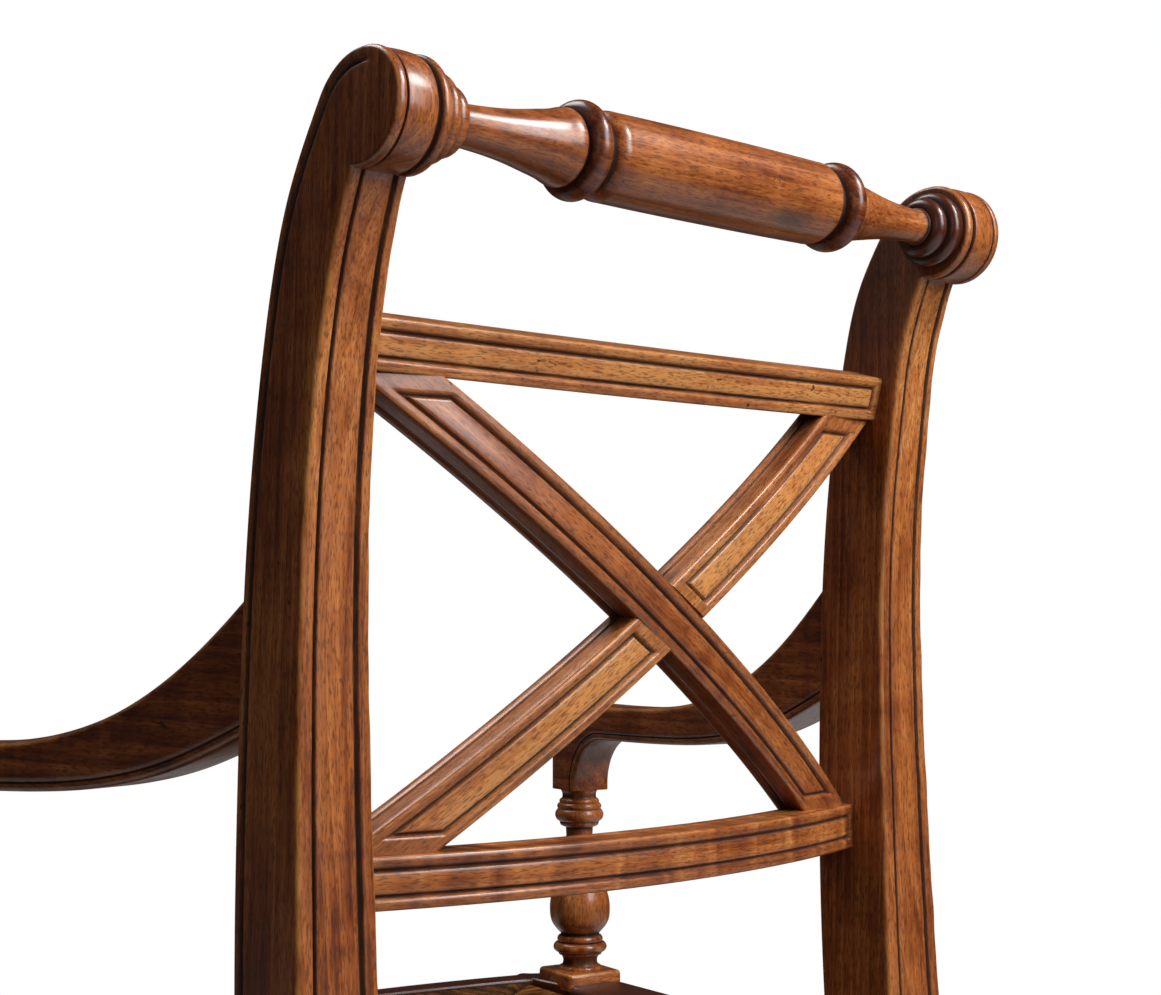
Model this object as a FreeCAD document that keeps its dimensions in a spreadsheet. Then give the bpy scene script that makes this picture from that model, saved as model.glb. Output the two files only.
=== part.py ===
import FreeCAD, Part
import math
import os
import Sketcher

# Cross frame dining armchair with scrolled back stiles, a turned top rail, a bowed cross between two back
# rails, swept arms on turned supports and a woven drop-in seat.
# Millimetres. The chair faces -Y and stands on z = 0. The outlines are drawn with y = 0 at the waist of the
# stiles' back face. Each finished piece is then moved by waist_y, which centres the chair on the origin.

Vector = FreeCAD.Vector
Placement = FreeCAD.Placement
Rotation = FreeCAD.Rotation

DIMENSIONS = (
    ("waist_y", 174, "waist of the back, behind the chair's middle"),
    ("stile_x", 210, "middle plane of a stile"),
    ("stile_foot", 38, "stile's thickness, side to side, at the floor"),
    ("stile_seat", 50.2, "at the seat, where it is thickest"),
    ("stile_top", 30, "at the top of the scroll"),
    ("rail_end", 190, "half of the span that the back rails' bows are drawn on"),
    ("foot_z", 3, "wooden feet, above the floor on their glides"),
    ("drum_y", 37, "middle of the scrolls"),
    ("crest_y", 39.5, "axis of the turned top rail"),
    ("crest_z", 968, "axis of the turned top rail and middle of the scrolls"),
    ("drum_radius", 27, "scroll at the top of a stile"),
    ("crest_tenon", 10, "radius of the top rail's round tenons"),
    ("lower_rail_z", 600, "bottom of the lower back rail"),
    ("rail_height", 26, "upper and lower back rails"),
    ("lower_rail_y", -22, "lower back rail's back face at the stiles"),
    ("lower_rail_bow", 34, "how far its middle stands back"),
    ("lower_rail_thick", 29, "front to back"),
    ("upper_rail_y", -3.5, "upper back rail's back face at the stiles"),
    ("upper_rail_mid", 867.7, "its middle height"),
    ("upper_rail_bow", 7, "how far its middle stands back"),
    ("upper_rail_thick", 28, "front to back"),
    ("upper_rail_lean", 15, "degrees that it leans back with the stiles"),
    ("tenon_long", 18, "rail tenons in the stiles"),
    ("tenon_thick", 12, "rail tenons in the stiles"),
    ("tenon_high", 18, "rail tenons in the stiles"),
    ("cross_angle", 55, "lean of a cross bar from upright, in degrees"),
    ("cross_mid", 738.8, "height where the bars cross"),
    ("cross_y", 10.5, "back face of the bars where they cross"),
    ("bar_low_y", -21, "back face of a bar near its lower end"),
    ("bar_high_y", -6, "back face of a bar near its upper end"),
    ("bar_reach", 200, "distance of these two ends from the crossing"),
    ("bar_wide", 28.8, "width of a bar's back face"),
    ("bar_thick", 23.4, "front to back"),
    ("bar_tenon_wide", 20, "stub tenons of the bars"),
    ("bar_tenon_thick", 10, "front to back"),
    ("arm_width", 32, "side to side"),
    ("arm_start_y", -48, "arm's axis at the stile"),
    ("support_x", 275, "axis of an arm support and front leg"),
    ("support_y", -355, "axis of an arm support and front leg"),
    ("block_low", 607, "underside of the arm's front block"),
    ("support_tenon", 9, "radius of the support's upper tenon"),
    ("support_dowel", 10, "radius of its lower tenon"),
    ("plinth_side", 44, "square foot of the arm support"),
    ("plinth_high", 11.5, "square foot of the arm support"),
    ("seat_low", 405, "bottom of the seat rails"),
    ("seat_top", 462, "top of the seat rails"),
    ("ledge_z", 442, "rebate that the loose seat lies on"),
    ("block_x", 250, "inner face of a front leg's block"),
    ("block_rear", -327, "rear face of a front leg's block"),
    ("front_y", -440, "front of the bowed seat"),
    ("front_end_y", -400, "front rail's outer face at the legs"),
    ("front_inner_y", -368, "front rail's inner face"),
    ("rear_rail_front", -56, "rear seat rail's front face"),
    ("rear_rail_back", -14, "rear seat rail's back face"),
    ("recess_rear", -44, "rear wall of the seat's recess"),
    ("recess_front", -422, "front wall of the recess, at its middle"),
    ("recess_corner_y", -380, "front wall of the recess, at its corners"),
    ("recess_rear_x", 186, "half width of the recess at the rear"),
    ("recess_corner_x", 249, "half width of the recess at the front"),
    ("ledge_wide", 12, "side rails' part of the rebate"),
    ("seat_rear_x", 230, "outer face of a side rail, level with the rear of the recess"),
    ("side_slope", 0.2165, "how far the sides spread for one forward"),
    ("seat_gap", 2.5, "loose seat to the walls of its recess"),
    ("rest_gap", 0.3, "loose seat above its ledge"),
    ("slip_top", 456, "top of the loose seat's frame"),
    ("slip_wide", 45, "boards of the loose seat's frame"),
    ("slip_tenon", 20, "tenons of its side boards"),
    ("dowel_radius", 5, "dowels between arm and stile"),
    ("dowel_long", 42, "dowels between arm and stile"),
    ("fit", 0.15, "radial play of the round joints"),
    ("screw_radius", 2.2, "corner block screws"),
    ("screw_long", 58, "corner block screws"),
    ("screw_head", 4.2, "radius of their heads"),
    ("glide_radius", 9, "foot glides"),
    ("glide_pin", 2, "radius of a glide's pin"),
    ("glide_pin_long", 14, "length of a glide's pin"),
)

# Side outline of a stile from the foot to the scroll, front face and back face, as (y, z).
STILE_FRONT = ((56, "foot_z"), (-1, 230), (-39.5, 465), (-47.4, 600), (-47.8, 690), (-44.5, 785), (-38, 847),
               (-30, 893), (-15.8, 937.5), (8.5, 976.4), ("drum_y - 3", "crest_z + 26.8"))
STILE_BACK = (("drum_y - 5.5", "crest_z - 26.4"), (21.3, 914), (10, 866), (1.2, 785), (-0.3, 735), (2.8, 604),
              (11, 465), (44, 230), (92, "foot_z"))

# Half of the turned top rail as (distance from its middle, radius): barrel, two beads, flared neck, two rings.
CREST_HALF = (
    ("arc", (0, 23.2), (39, 23), (77, 22.2)),
    ("arc", (77, 22.2), (82.5, 24), (87.5, 21.6)),
    ("line", (87.5, 21.6), (89, 21)),
    ("arc", (89, 21), (97.5, 25), (106, 20.5)),
    ("line", (106, 20.5), (107, 19)),
    ("spline", (107, 19), (124, 14.7), (147, 11.2), (171, 9.8)),
    ("line", (171, 9.8), (171.5, 13)),
    ("arc", (171.5, 13), (174.5, 15), (177, 14)),
    ("arc", (177, 14), (181.5, 19), (186, 16.5)),
    ("arc", (186, 16.5), (191, 23), (199, 23)),
)

# Arm support from its lower to its upper tenon as (radius, height).
SUPPORT_TURNING = (
    ("line", ("support_dowel", 465), (15.6, 465)),
    ("line", (15.6, 465), (15.6, 473)),
    ("arc", (15.6, 473), (16.2, 474.6), (13.6, 476.3)),
    ("arc", (13.6, 476.3), (12.7, 479.7), (14.6, 483.5)),
    ("line", (14.6, 483.5), (15.9, 485.2)),
    ("arc", (15.9, 485.2), (19.9, 489.8), (16.2, 493.4)),
    ("arc", (16.2, 493.4), (16.7, 495.8), (14.4, 499)),
    ("spline", (14.4, 499), (20.4, 506.5), (22.6, 516), (21.6, 527), (16.6, 541), (12, 556), (9.8, 573)),
    ("line", (9.8, 573), (10.2, 579)),
    ("line", (10.2, 579), (14.5, 582.5)),
    ("arc", (14.5, 582.5), (18.2, 587.8), (16.4, 593)),
    ("arc", (16.4, 593), (16.6, 595), (15, 597)),
    ("arc", (15, 597), (15, 598.5), (13.2, 600.5)),
    ("arc", (13.2, 600.5), (12.8, 603), (14, "block_low")),
    ("line", (14, "block_low"), ("support_tenon", "block_low")),
)

# Turned part of a front leg, from the foot to its square block, as (radius, height).
LEG_TURNING = (
    ("spline", (11.5, "foot_z"), (16, 22), (17, 44), (13.2, 66)),
    ("line", (13.2, 66), (16, 69)),
    ("arc", (16, 69), (19.6, 76), (15.4, 83)),
    ("line", (15.4, 83), (14, 87)),
    ("spline", (14, 87), (18, 190), (22, 290), (22.6, 326), (18, 352), (14.6, 366)),
    ("line", (14.6, 366), (17.6, 369)),
    ("arc", (17.6, 369), (20, 373.5), (17.6, 378)),
    ("arc", (17.6, 378), (24, 385), (17.6, 392)),
    ("line", (17.6, 392), (17.6, 402)),
)

# Side outline of an arm as (distance from the stile, height): top, rounded front, block, cove and underside.
ARM_OUTLINE = (
    ("spline", (-14, 767.5), (0, 755), (50, 716), (102, 690), (160, 676.5), (230, 672), (290, 672)),
    ("arc", (290, 672), (318, 660), (329.8, 632)),
    ("line", (329.8, 632), (329.8, "block_low")),
    ("line", (329.8, "block_low"), (297.8, "block_low")),
    ("line", (297.8, "block_low"), (297.8, 611)),
    ("arc", (297.8, 611), (287.3, 636.5), (262, 647)),
    ("spline", (262, 647), (180, 648.5), (115, 653), (60, 664), (0, 687), (-14, 693)),
    ("line", (-14, 693), (-14, 767.5)),
)

# Sections of the woven seat: height, and share of the seat's plan, from its edge to its crown.
SEAT_SECTIONS = ((456, 1.0), (463.5, 1.0), (467.5, 0.965), (470.5, 0.88), (473, 0.66), (474.2, 0.36))

ARM_DOWEL_HEIGHTS = (703, 735)

doc = FreeCAD.newDocument("cross_frame_armchair")
sheet = doc.addObject("Spreadsheet::Sheet", "dims")
for row, (alias, value, meaning) in enumerate(DIMENSIONS, start=1):
    sheet.set("A%d" % row, meaning)
    sheet.set("B%d" % row, str(value))
    sheet.setAlias("B%d" % row, alias)
doc.recompute()

formula_cells = {}
nodes = []


def cell(formula):
    """Sheet cell that keeps a formula of the named dimensions."""
    if formula not in formula_cells:
        address = "D%d" % (len(formula_cells) + 1)
        sheet.set(address, "=" + formula)
        sheet.recompute()
        formula_cells[formula] = address
    return formula_cells[formula]


def size(measure):
    """Value of a number, or of a formula of the named dimensions."""
    if isinstance(measure, str):
        return float(sheet.get(cell(measure)))
    return float(measure)


def bind(item, prop, measure):
    """Set a property of an object, and tie it to the sheet where the measure is a formula."""
    if isinstance(measure, str):
        item.setExpression(prop, "dims." + cell(measure))
    elif "." not in prop:
        setattr(item, prop, measure)


def vector(point):
    """Point of an outline as a vector in its sketch."""
    return Vector(size(point[0]), size(point[1]), 0)


def pin(sketch, geometry, end, point):
    """Hold one end of a line or curve at its x and y, tied to the sheet where these are formulas."""
    for kind, axis, measure in (("DistanceX", -2, point[0]), ("DistanceY", -1, point[1])):
        value = size(measure)
        if abs(value) < 1e-6:
            sketch.addConstraint(Sketcher.Constraint("PointOnObject", geometry, end, axis))
            continue
        ends = (-1, 1, geometry, end) if value > 0 else (geometry, end, -1, 1)
        index = sketch.addConstraint(Sketcher.Constraint(kind, *ends, abs(value)))
        if isinstance(measure, str):
            sign = "" if value > 0 else "-"
            sketch.setExpression("Constraints[%d]" % index, sign + "dims." + cell(measure))


def draw(sketch, steps):
    """Outline made of lines, arcs through three points and splines, each with its ends pinned."""
    for kind, *points in steps:
        places = [vector(point) for point in points]
        if kind == "line":
            curve = Part.LineSegment(*places)
        elif kind == "arc":
            curve = Part.Arc(*places)
        else:
            curve = Part.BSplineCurve()
            curve.interpolate(places)
        geometry = sketch.addGeometry(curve)
        forward = (sketch.getPoint(geometry, 1) - places[0]).Length < 0.001
        pin(sketch, geometry, 1, points[0] if forward else points[-1])
        pin(sketch, geometry, 2, points[-1] if forward else points[0])


def polygon(*corners):
    """Steps of a closed outline with straight sides."""
    ends = corners[1:] + corners[:1]
    return [("line", start, end) for start, end in zip(corners, ends)]


def backward(steps):
    """The same steps, walked from the other end on the other side of the y axis."""
    mirrored = []
    for kind, *points in reversed(steps):
        mirrored.append((kind, *((-x, y) for x, y in reversed(points))))
    return mirrored


def new_body(name, place=None):
    """Empty body at a place in the chair."""
    body = doc.addObject("PartDesign::Body", name)
    if place:
        body.Placement = place
    return body


def new_sketch(body, role, steps, offset=0):
    """Sketch on one of a body's own planes, moved along the plane's normal by an offset."""
    sketch = body.newObject("Sketcher::SketchObject", "outline")
    plane = next(item for item in body.Origin.OriginFeatures if item.Role == role)
    sketch.AttachmentSupport = [(plane, "")]
    sketch.MapMode = "FlatFace"
    bind(sketch, "AttachmentOffset.Base.z", offset)
    draw(sketch, steps)
    return sketch


def padded(name, role, steps, length, offset=0, symmetric=False, place=None):
    """Body made by giving an outline a thickness."""
    body = new_body(name, place)
    pad = body.newObject("PartDesign::Pad", "pad")
    pad.Profile = new_sketch(body, role, steps, offset)
    pad.SideType = "Symmetric" if symmetric else "One side"
    bind(pad, "Length", length)
    return body


def turned(name, steps, axis, place):
    """Body made by turning a half outline about an axis of its sketch."""
    body = new_body(name, place)
    turning = body.newObject("PartDesign::Revolution", "turning")
    sketch = new_sketch(body, "XZ_Plane", steps)
    turning.Profile = sketch
    turning.ReferenceAxis = (sketch, [axis])
    turning.Angle = 360
    return body


def lofted(name, sections):
    """Body through level outlines, each given with its height."""
    body = new_body(name)
    loft = body.newObject("PartDesign::AdditiveLoft", "loft")
    sketches = [new_sketch(body, "XY_Plane", steps, height) for height, steps in sections]
    loft.Profile = sketches[0]
    loft.Sections = sketches[1:]
    loft.Ruled = True
    return body


def box(name, corner, sizes, frame=None):
    """Box by its lowest corner and its three sizes, in the chair or in a leaning frame."""
    item = doc.addObject("Part::Box", name)
    for prop, measure in zip(("Length", "Width", "Height"), sizes):
        bind(item, prop, measure)
    place = Placement(Vector(*(size(measure) for measure in corner)), Rotation())
    item.Placement = frame.multiply(place) if frame else place
    return item


def pin_along(name, start, direction, radius, length):
    """Round bar from a point along a direction."""
    item = doc.addObject("Part::Cylinder", name)
    bind(item, "Radius", radius)
    bind(item, "Height", length)
    turn = Rotation(Vector(0, 0, 1), Vector(*direction))
    item.Placement = Placement(Vector(*(size(measure) for measure in start)), turn)
    return item


def common(name, *shapes):
    """Overlap of some shapes."""
    item = doc.addObject("Part::MultiCommon", name)
    item.Shapes = list(shapes)
    return item


def fused(name, *shapes):
    """Some shapes made into one."""
    item = doc.addObject("Part::MultiFuse", name)
    item.Shapes = list(shapes)
    return item


def group(name, *shapes):
    """Separate solids kept together."""
    item = doc.addObject("Part::Compound", name)
    item.Links = list(shapes)
    return item


def mirrored(name, source):
    """The same shape on the other side of the chair."""
    item = doc.addObject("Part::Mirroring", name)
    item.Source = source
    item.Normal = Vector(1, 0, 0)
    return item


def cut(name, base, *tools):
    """A shape with some others taken out of it."""
    item = doc.addObject("Part::Cut", name)
    item.Base = base
    item.Tool = tools[0] if len(tools) == 1 else fused(name + "_hollows", *tools)
    return item


def node(label, item):
    """Finished piece: its label names its file, and its place sets the chair on its middle."""
    item.Label = label
    bind(item, "Placement.Base.y", "waist_y")
    nodes.append(item)
    return item


def mirror_node(label, source):
    """Finished piece that is the mirror image of another."""
    item = mirrored(label + "_mirror", source)
    item.Label = label
    nodes.append(item)
    return item


def stile_blank():
    """One stile with its leg and scroll, before its joints are cut: its side outline and its tapering front
    outline, each as a prism, where they overlap."""
    rear = ("drum_y + drum_radius", "crest_z")
    side_steps = [
        ("spline", *STILE_FRONT),
        ("arc", STILE_FRONT[-1], rear, STILE_BACK[0]),
        ("spline", *STILE_BACK),
        ("line", STILE_BACK[-1], STILE_FRONT[0]),
    ]
    side = padded("stile_side", "YZ_Plane", side_steps, 80, symmetric=True)
    bind(side, "Placement.Base.x", "stile_x")
    knee = 470
    top = "crest_z + 40"
    front_steps = polygon(
        ("-stile_foot / 2", 0), ("stile_foot / 2", 0), ("stile_seat / 2", knee),
        ("stile_top / 2", top), ("-stile_top / 2", top), ("-stile_seat / 2", knee),
    )
    front = padded("stile_front", "XZ_Plane", front_steps, 400, symmetric=True)
    bind(front, "Placement.Base.x", "stile_x")
    return common("stile_blank", side, front)


def bowed_rail(name, bow, thick, height_from, place):
    """Rail whose back and front faces are arcs of one bow, in a frame at its back face, long enough to be
    fitted between the stiles."""
    end = "rail_end + 12"
    start = "-rail_end - 12"
    dip = "%s * (1 - ((rail_end + 12) / rail_end)^2)" % bow
    dip_front = dip + " - " + thick
    steps = [
        ("arc", (start, dip), (0, bow), (end, dip)),
        ("line", (end, dip), (end, dip_front)),
        ("arc", (end, dip_front), (0, bow + " - " + thick), (start, dip_front)),
        ("line", (start, dip_front), (start, dip)),
    ]
    return padded(name, "XY_Plane", steps, "rail_height", height_from, place=place)


def rail_tenons(name, thick, height_from, frame):
    """The two tenons of a back rail, in the rail's own frame."""
    front = "-(%s + tenon_thick) / 2" % thick
    low = "%s + (rail_height - tenon_high) / 2" % height_from
    sizes = ("tenon_long + 6", "tenon_thick", "tenon_high")
    left = box(name + "_left", ("rail_end - 6", front, low), sizes, frame)
    right = box(name + "_right", ("-rail_end - tenon_long", front, low), sizes, frame)
    return left, right


def bar_frame():
    """Frame of the bar that rises towards +X: along the bar, back, and across the bar."""
    turn = Rotation(Vector(0, 1, 0), size("cross_angle") - 90)
    return Placement(Vector(0, 0, size("cross_mid")), turn)


def bent_bar(name, wide, setback, thick):
    """Bar bent to an arc that runs straight on past both ends, of one width and thickness, in its own frame."""

    def curve_at(depth):
        return (
            ("-bar_reach - 40", "bar_low_y - 12 - " + depth),
            ("-bar_reach", "bar_low_y - " + depth),
            (0, "cross_y - " + depth),
            ("bar_reach", "bar_high_y - " + depth),
            ("bar_reach + 40", "bar_high_y - 8 - " + depth),
        )

    back = curve_at(setback)
    front = curve_at(setback + " - " + thick)
    steps = [("line", back[0], front[0]), ("line", back[-1], front[-1])]
    for low_end, low, middle, high, high_end in (back, front):
        steps += [("line", low_end, low), ("arc", low, middle, high), ("line", high, high_end)]
    return padded(name, "XY_Plane", steps, wide, symmetric=True, place=bar_frame())


def cross_bars(upper_blank, stiles):
    """Two bent bars halved into each other, with stub tenons for the rails: pieces and tenons."""
    shoulder = "lower_rail_z + rail_height"
    between = box("between_rails", (-193, -100, shoulder), (386, 200, "864 - lower_rail_z - rail_height"))
    sawn = cut("bar_sawn", common("bar_between", bent_bar("bar_bent", "bar_wide", "0", "bar_thick"), between),
               upper_blank, *stiles)
    core = bent_bar("stub_bent", "bar_tenon_wide", "(bar_thick - bar_tenon_thick) / 2", "bar_tenon_thick")
    reach = box("stub_reach", (-184, -100, shoulder + " - 9"), (368, 200, "873 - lower_rail_z - rail_height"))
    tenon = common("bar_tenon", core, reach)
    whole = fused("bar_whole", sawn, tenon)
    half_sizes = (120, 80, "bar_wide")
    middle = "cross_y - bar_thick / 2"
    front_half = box("halving_front", (-60, middle + " - 80", "-bar_wide / 2"), half_sizes, bar_frame())
    back_half = box("halving_back", (-60, middle, "-bar_wide / 2"), half_sizes, bar_frame())
    bar_a = cut("bar_a_halved", whole, mirrored("halving_front_far", front_half))
    bar_b = cut("bar_b_halved", mirrored("bar_b_whole", whole), back_half)
    return (bar_a, bar_b), (tenon, mirrored("bar_b_tenon", tenon))


def arm_blank(stile):
    """Left arm, swept in its own upright plane and fitted to the front of the stile."""
    run = Vector(size("support_x - stile_x"), size("support_y - arm_start_y"), 0)
    start = Vector(size("stile_x"), size("arm_start_y"), 0)
    place = Placement(start, Rotation(Vector(1, 0, 0), run))
    sawn = padded("arm_sawn", "XZ_Plane", ARM_OUTLINE, "arm_width", symmetric=True, place=place)
    return cut("arm_fitted", sawn, stile)


def axis_place():
    """Upright axis shared by the left arm support and the left front leg."""
    return Placement(Vector(size("support_x"), size("support_y"), 0), Rotation())


def arm_support():
    """Left arm support: baluster with round tenons above and below, on a square plinth turned to the arm."""
    steps = polygon((0, 434), ("support_dowel", 434), ("support_dowel", 465))[:2]
    steps += list(SUPPORT_TURNING)
    top = "block_low + 25"
    steps += [
        ("line", ("support_tenon", "block_low"), ("support_tenon", top)),
        ("line", ("support_tenon", top), (0, top)),
        ("line", (0, top), (0, 434)),
    ]
    baluster = turned("baluster", steps, "V_Axis", axis_place())
    angle = math.degrees(math.atan2(size("support_x - stile_x"),
                                    size("arm_start_y - support_y")))
    frame = Placement(axis_place().Base, Rotation(Vector(0, 0, 1), angle))
    half = "-plinth_side / 2"
    plinth = box("plinth", (half, half, "seat_top"), ("plinth_side", "plinth_side", "plinth_high"), frame)
    return fused("arm_support_blank", baluster, plinth)


def front_leg():
    """Left front leg: turned leg under a block that follows the rounded corner of the seat."""
    steps = [("line", (0, "foot_z"), (11.5, "foot_z"))]
    steps += list(LEG_TURNING)
    steps += [("line", (17.6, 402), (0, 402)), ("line", (0, 402), (0, "foot_z"))]
    turning = turned("leg_turning", steps, "V_Axis", axis_place())
    rear_x = "seat_rear_x + (recess_rear - block_rear) * side_slope"
    outer = (298.4, -360)
    front = (266, -394.7)
    corner = [
        ("line", ("block_x", "block_rear"), (rear_x, "block_rear")),
        ("line", (rear_x, "block_rear"), outer),
        ("arc", outer, (291, -386), front),
        ("line", front, ("block_x", "front_end_y")),
        ("line", ("block_x", "front_end_y"), ("block_x", "block_rear")),
    ]
    block = padded("leg_block", "XY_Plane", corner, "seat_top - 400", "400")
    return fused("leg_blank", turning, block)


def seat_plan(rear, corner, front):
    """Plan with a straight rear edge, spreading sides and a bowed front, from its left corners."""
    far_corner = ("-" + corner[0], corner[1])
    far_rear = ("-" + rear[0], rear[1])
    return [
        ("line", far_rear, rear),
        ("line", rear, corner),
        ("arc", corner, (0, front), far_corner),
        ("line", far_corner, far_rear),
    ]


def recess():
    """Space of the loose seat inside the seat rails, above their ledge."""
    corner = ("recess_corner_x", "recess_corner_y")
    rear = ("recess_rear_x", "recess_rear")
    steps = seat_plan(rear, corner, "recess_front")
    return padded("seat_recess", "XY_Plane", steps, "40", "ledge_z")


def inner_x(y):
    """Half width between the side rails, inside their ledge, at a distance along the chair."""
    spread = "(recess_corner_x - recess_rear_x) / (recess_rear - recess_corner_y)"
    return "recess_rear_x - ledge_wide + (recess_rear - (%s)) * %s" % (y, spread)


def seat_rails(stiles):
    """Front, rear and left seat rails with their tenons: rails before the recess is cut, and tenons."""
    high = "seat_top - seat_low"
    end = "rail_end"
    front_steps = [
        ("line", ("-block_x", "front_inner_y"), ("block_x", "front_inner_y")),
        ("line", ("block_x", "front_inner_y"), ("block_x", "front_end_y")),
        ("arc", ("block_x", "front_end_y"), (0, "front_y"), ("-block_x", "front_end_y")),
        ("line", ("-block_x", "front_end_y"), ("-block_x", "front_inner_y")),
    ]
    front = padded("front_rail_sawn", "XY_Plane", front_steps, high, "seat_low")
    rear_blank = box("rear_rail_sawn", ("-rail_end", "rear_rail_front", "seat_low"),
                     ("2 * rail_end", "rear_rail_back - rear_rail_front", high))
    rear = cut("rear_rail_fitted", rear_blank, *stiles)
    outer_front = "seat_rear_x + (recess_rear - block_rear) * side_slope"
    side_steps = polygon(
        (inner_x("rear_rail_front"), "rear_rail_front"),
        (end, "rear_rail_front"),
        (end, -25),
        ("seat_rear_x - 4", -25),
        ("seat_rear_x", "recess_rear"),
        (outer_front, "block_rear"),
        (inner_x("block_rear"), "block_rear"),
    )
    side_blank = padded("side_rail_sawn", "XY_Plane", side_steps, high, "seat_low")
    side = cut("side_rail_fitted", side_blank, stiles[0])
    tenons = {
        "front": box("front_rail_tenon", ("block_x", -393, 414), (16, 14, 26)),
        "rear": box("rear_rail_tenon", ("rail_end - 10", -34, 414), (27, "tenon_thick", 36)),
        "side_front": box("side_front_tenon", (266, "block_rear - 15", 414), ("tenon_thick", 15, 26)),
        "side_rear": box("side_rear_tenon", (210, -60, 414), ("tenon_thick", 38, 36)),
    }
    return front, rear, side, tenons


def corner_blocks():
    """Left front and left rear corner blocks, with two screws each: blocks and screws by corner."""
    low = "412"
    high = "ledge_z - 412"
    front_steps = polygon(("block_x", "block_rear"), ("block_x", "front_inner_y"),
                          (190, "front_inner_y"), (212, "block_rear"))
    reach = "rear_rail_front - 50"
    rear_corner = inner_x("rear_rail_front")
    rear_steps = polygon((rear_corner, "rear_rail_front"), (rear_corner + " - 50", "rear_rail_front"),
                         (inner_x(reach), reach))
    blocks = {
        "front": padded("front_block_sawn", "XY_Plane", front_steps, high, low),
        "rear": padded("rear_block_sawn", "XY_Plane", rear_steps, high, low),
    }
    upper_z = "434"
    lower_z = "420"
    slope = size("(recess_corner_x - recess_rear_x) / (recess_rear - recess_corner_y)")
    to_side = (1, slope, 0)
    screws = {
        "front": (screw("front_screw_a", (222, "block_rear", upper_z), (0, -1, 0)),
                  screw("front_screw_b", (201.5, -347, lower_z), (1, 0, 0))),
        "rear": (screw("rear_screw_a", (150, -76, upper_z), (0, 1, 0)),
                 screw("rear_screw_b", (152.5, -78, lower_z), to_side)),
    }
    return blocks, screws


def screw(name, head, direction):
    """Flat-headed screw from its head's outer face along a direction."""
    shank = pin_along(name + "_shank", head, direction, "screw_radius", "screw_long")
    cap = pin_along(name + "_head", head, direction, "screw_head", "2.5")
    return fused(name, shank, cap)


def glide(name, x, y):
    """Round foot glide with a pin up into the foot."""
    disc = pin_along(name + "_disc", (x, y, 0), (0, 0, 1), "glide_radius", "foot_z")
    pin_up = pin_along(name + "_pin", (x, y, 0), (0, 0, 1), "glide_pin", "foot_z + glide_pin_long")
    return fused(name, disc, pin_up)


def slip_boards():
    """Four boards of the loose seat's frame: front, rear and left, the side board with its tenons."""
    low = "ledge_z + rest_gap"
    high = "slip_top - ledge_z - rest_gap"
    spread = "(recess_corner_x - recess_rear_x) / (recess_rear - recess_corner_y)"

    def edge(y):
        return "recess_rear_x - seat_gap - 0.5 + (recess_rear - (%s)) * %s" % (y, spread)

    rear_y = "recess_rear - seat_gap"
    rear_in = "recess_rear - seat_gap - slip_wide"
    front_in = "recess_corner_y + slip_wide"
    corner_y = "recess_corner_y + seat_gap"
    far_corner = ("-(%s)" % edge(corner_y), corner_y)
    rear_steps = polygon((edge(rear_y), rear_y), ("-(%s)" % edge(rear_y), rear_y),
                         ("-(%s)" % edge(rear_in), rear_in), (edge(rear_in), rear_in))
    front_steps = [
        ("line", ("-(%s)" % edge(front_in), front_in), (edge(front_in), front_in)),
        ("line", (edge(front_in), front_in), (edge(corner_y), corner_y)),
        ("arc", (edge(corner_y), corner_y), (0, "recess_front + seat_gap"), far_corner),
        ("line", far_corner, ("-(%s)" % edge(front_in), front_in)),
    ]
    side_steps = polygon((edge(rear_in), rear_in), (edge(front_in), front_in),
                         (edge(front_in) + " - slip_wide", front_in), (edge(rear_in) + " - slip_wide", rear_in))
    rear = padded("slip_rear_sawn", "XY_Plane", rear_steps, high, low)
    front = padded("slip_front_sawn", "XY_Plane", front_steps, high, low)
    side = padded("slip_side_sawn", "XY_Plane", side_steps, high, low)
    tenon_low = low + " + 4"
    tenon_sizes = (24, "slip_tenon", 5)
    rear_start = (edge(rear_in) + " - slip_wide + 10", rear_in, tenon_low)
    front_start = (edge(front_in) + " - slip_wide + 10", front_in + " - slip_tenon", tenon_low)
    rear_tenon = box("slip_rear_tenon", rear_start, tenon_sizes)
    front_tenon = box("slip_front_tenon", front_start, tenon_sizes)
    return front, rear, side, front_tenon, rear_tenon


def woven_seat():
    """Woven top of the loose seat: upright edge, then a crown that flattens towards its middle."""
    middle = "((recess_rear + recess_corner_y) / 2)"
    sections = []
    for height, share in SEAT_SECTIONS:
        def shrunk(measure):
            return "%s * (%s - %s) + %s" % (share, measure, middle, middle)

        rear = ("%s * (recess_rear_x - seat_gap)" % share, shrunk("recess_rear - seat_gap"))
        corner = ("%s * (recess_corner_x - seat_gap)" % share, shrunk("recess_corner_y + seat_gap"))
        sections.append((height, seat_plan(rear, corner, shrunk("recess_front + seat_gap"))))
    return lofted("seat_weave", [(str(height), steps) for height, steps in sections])


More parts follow.
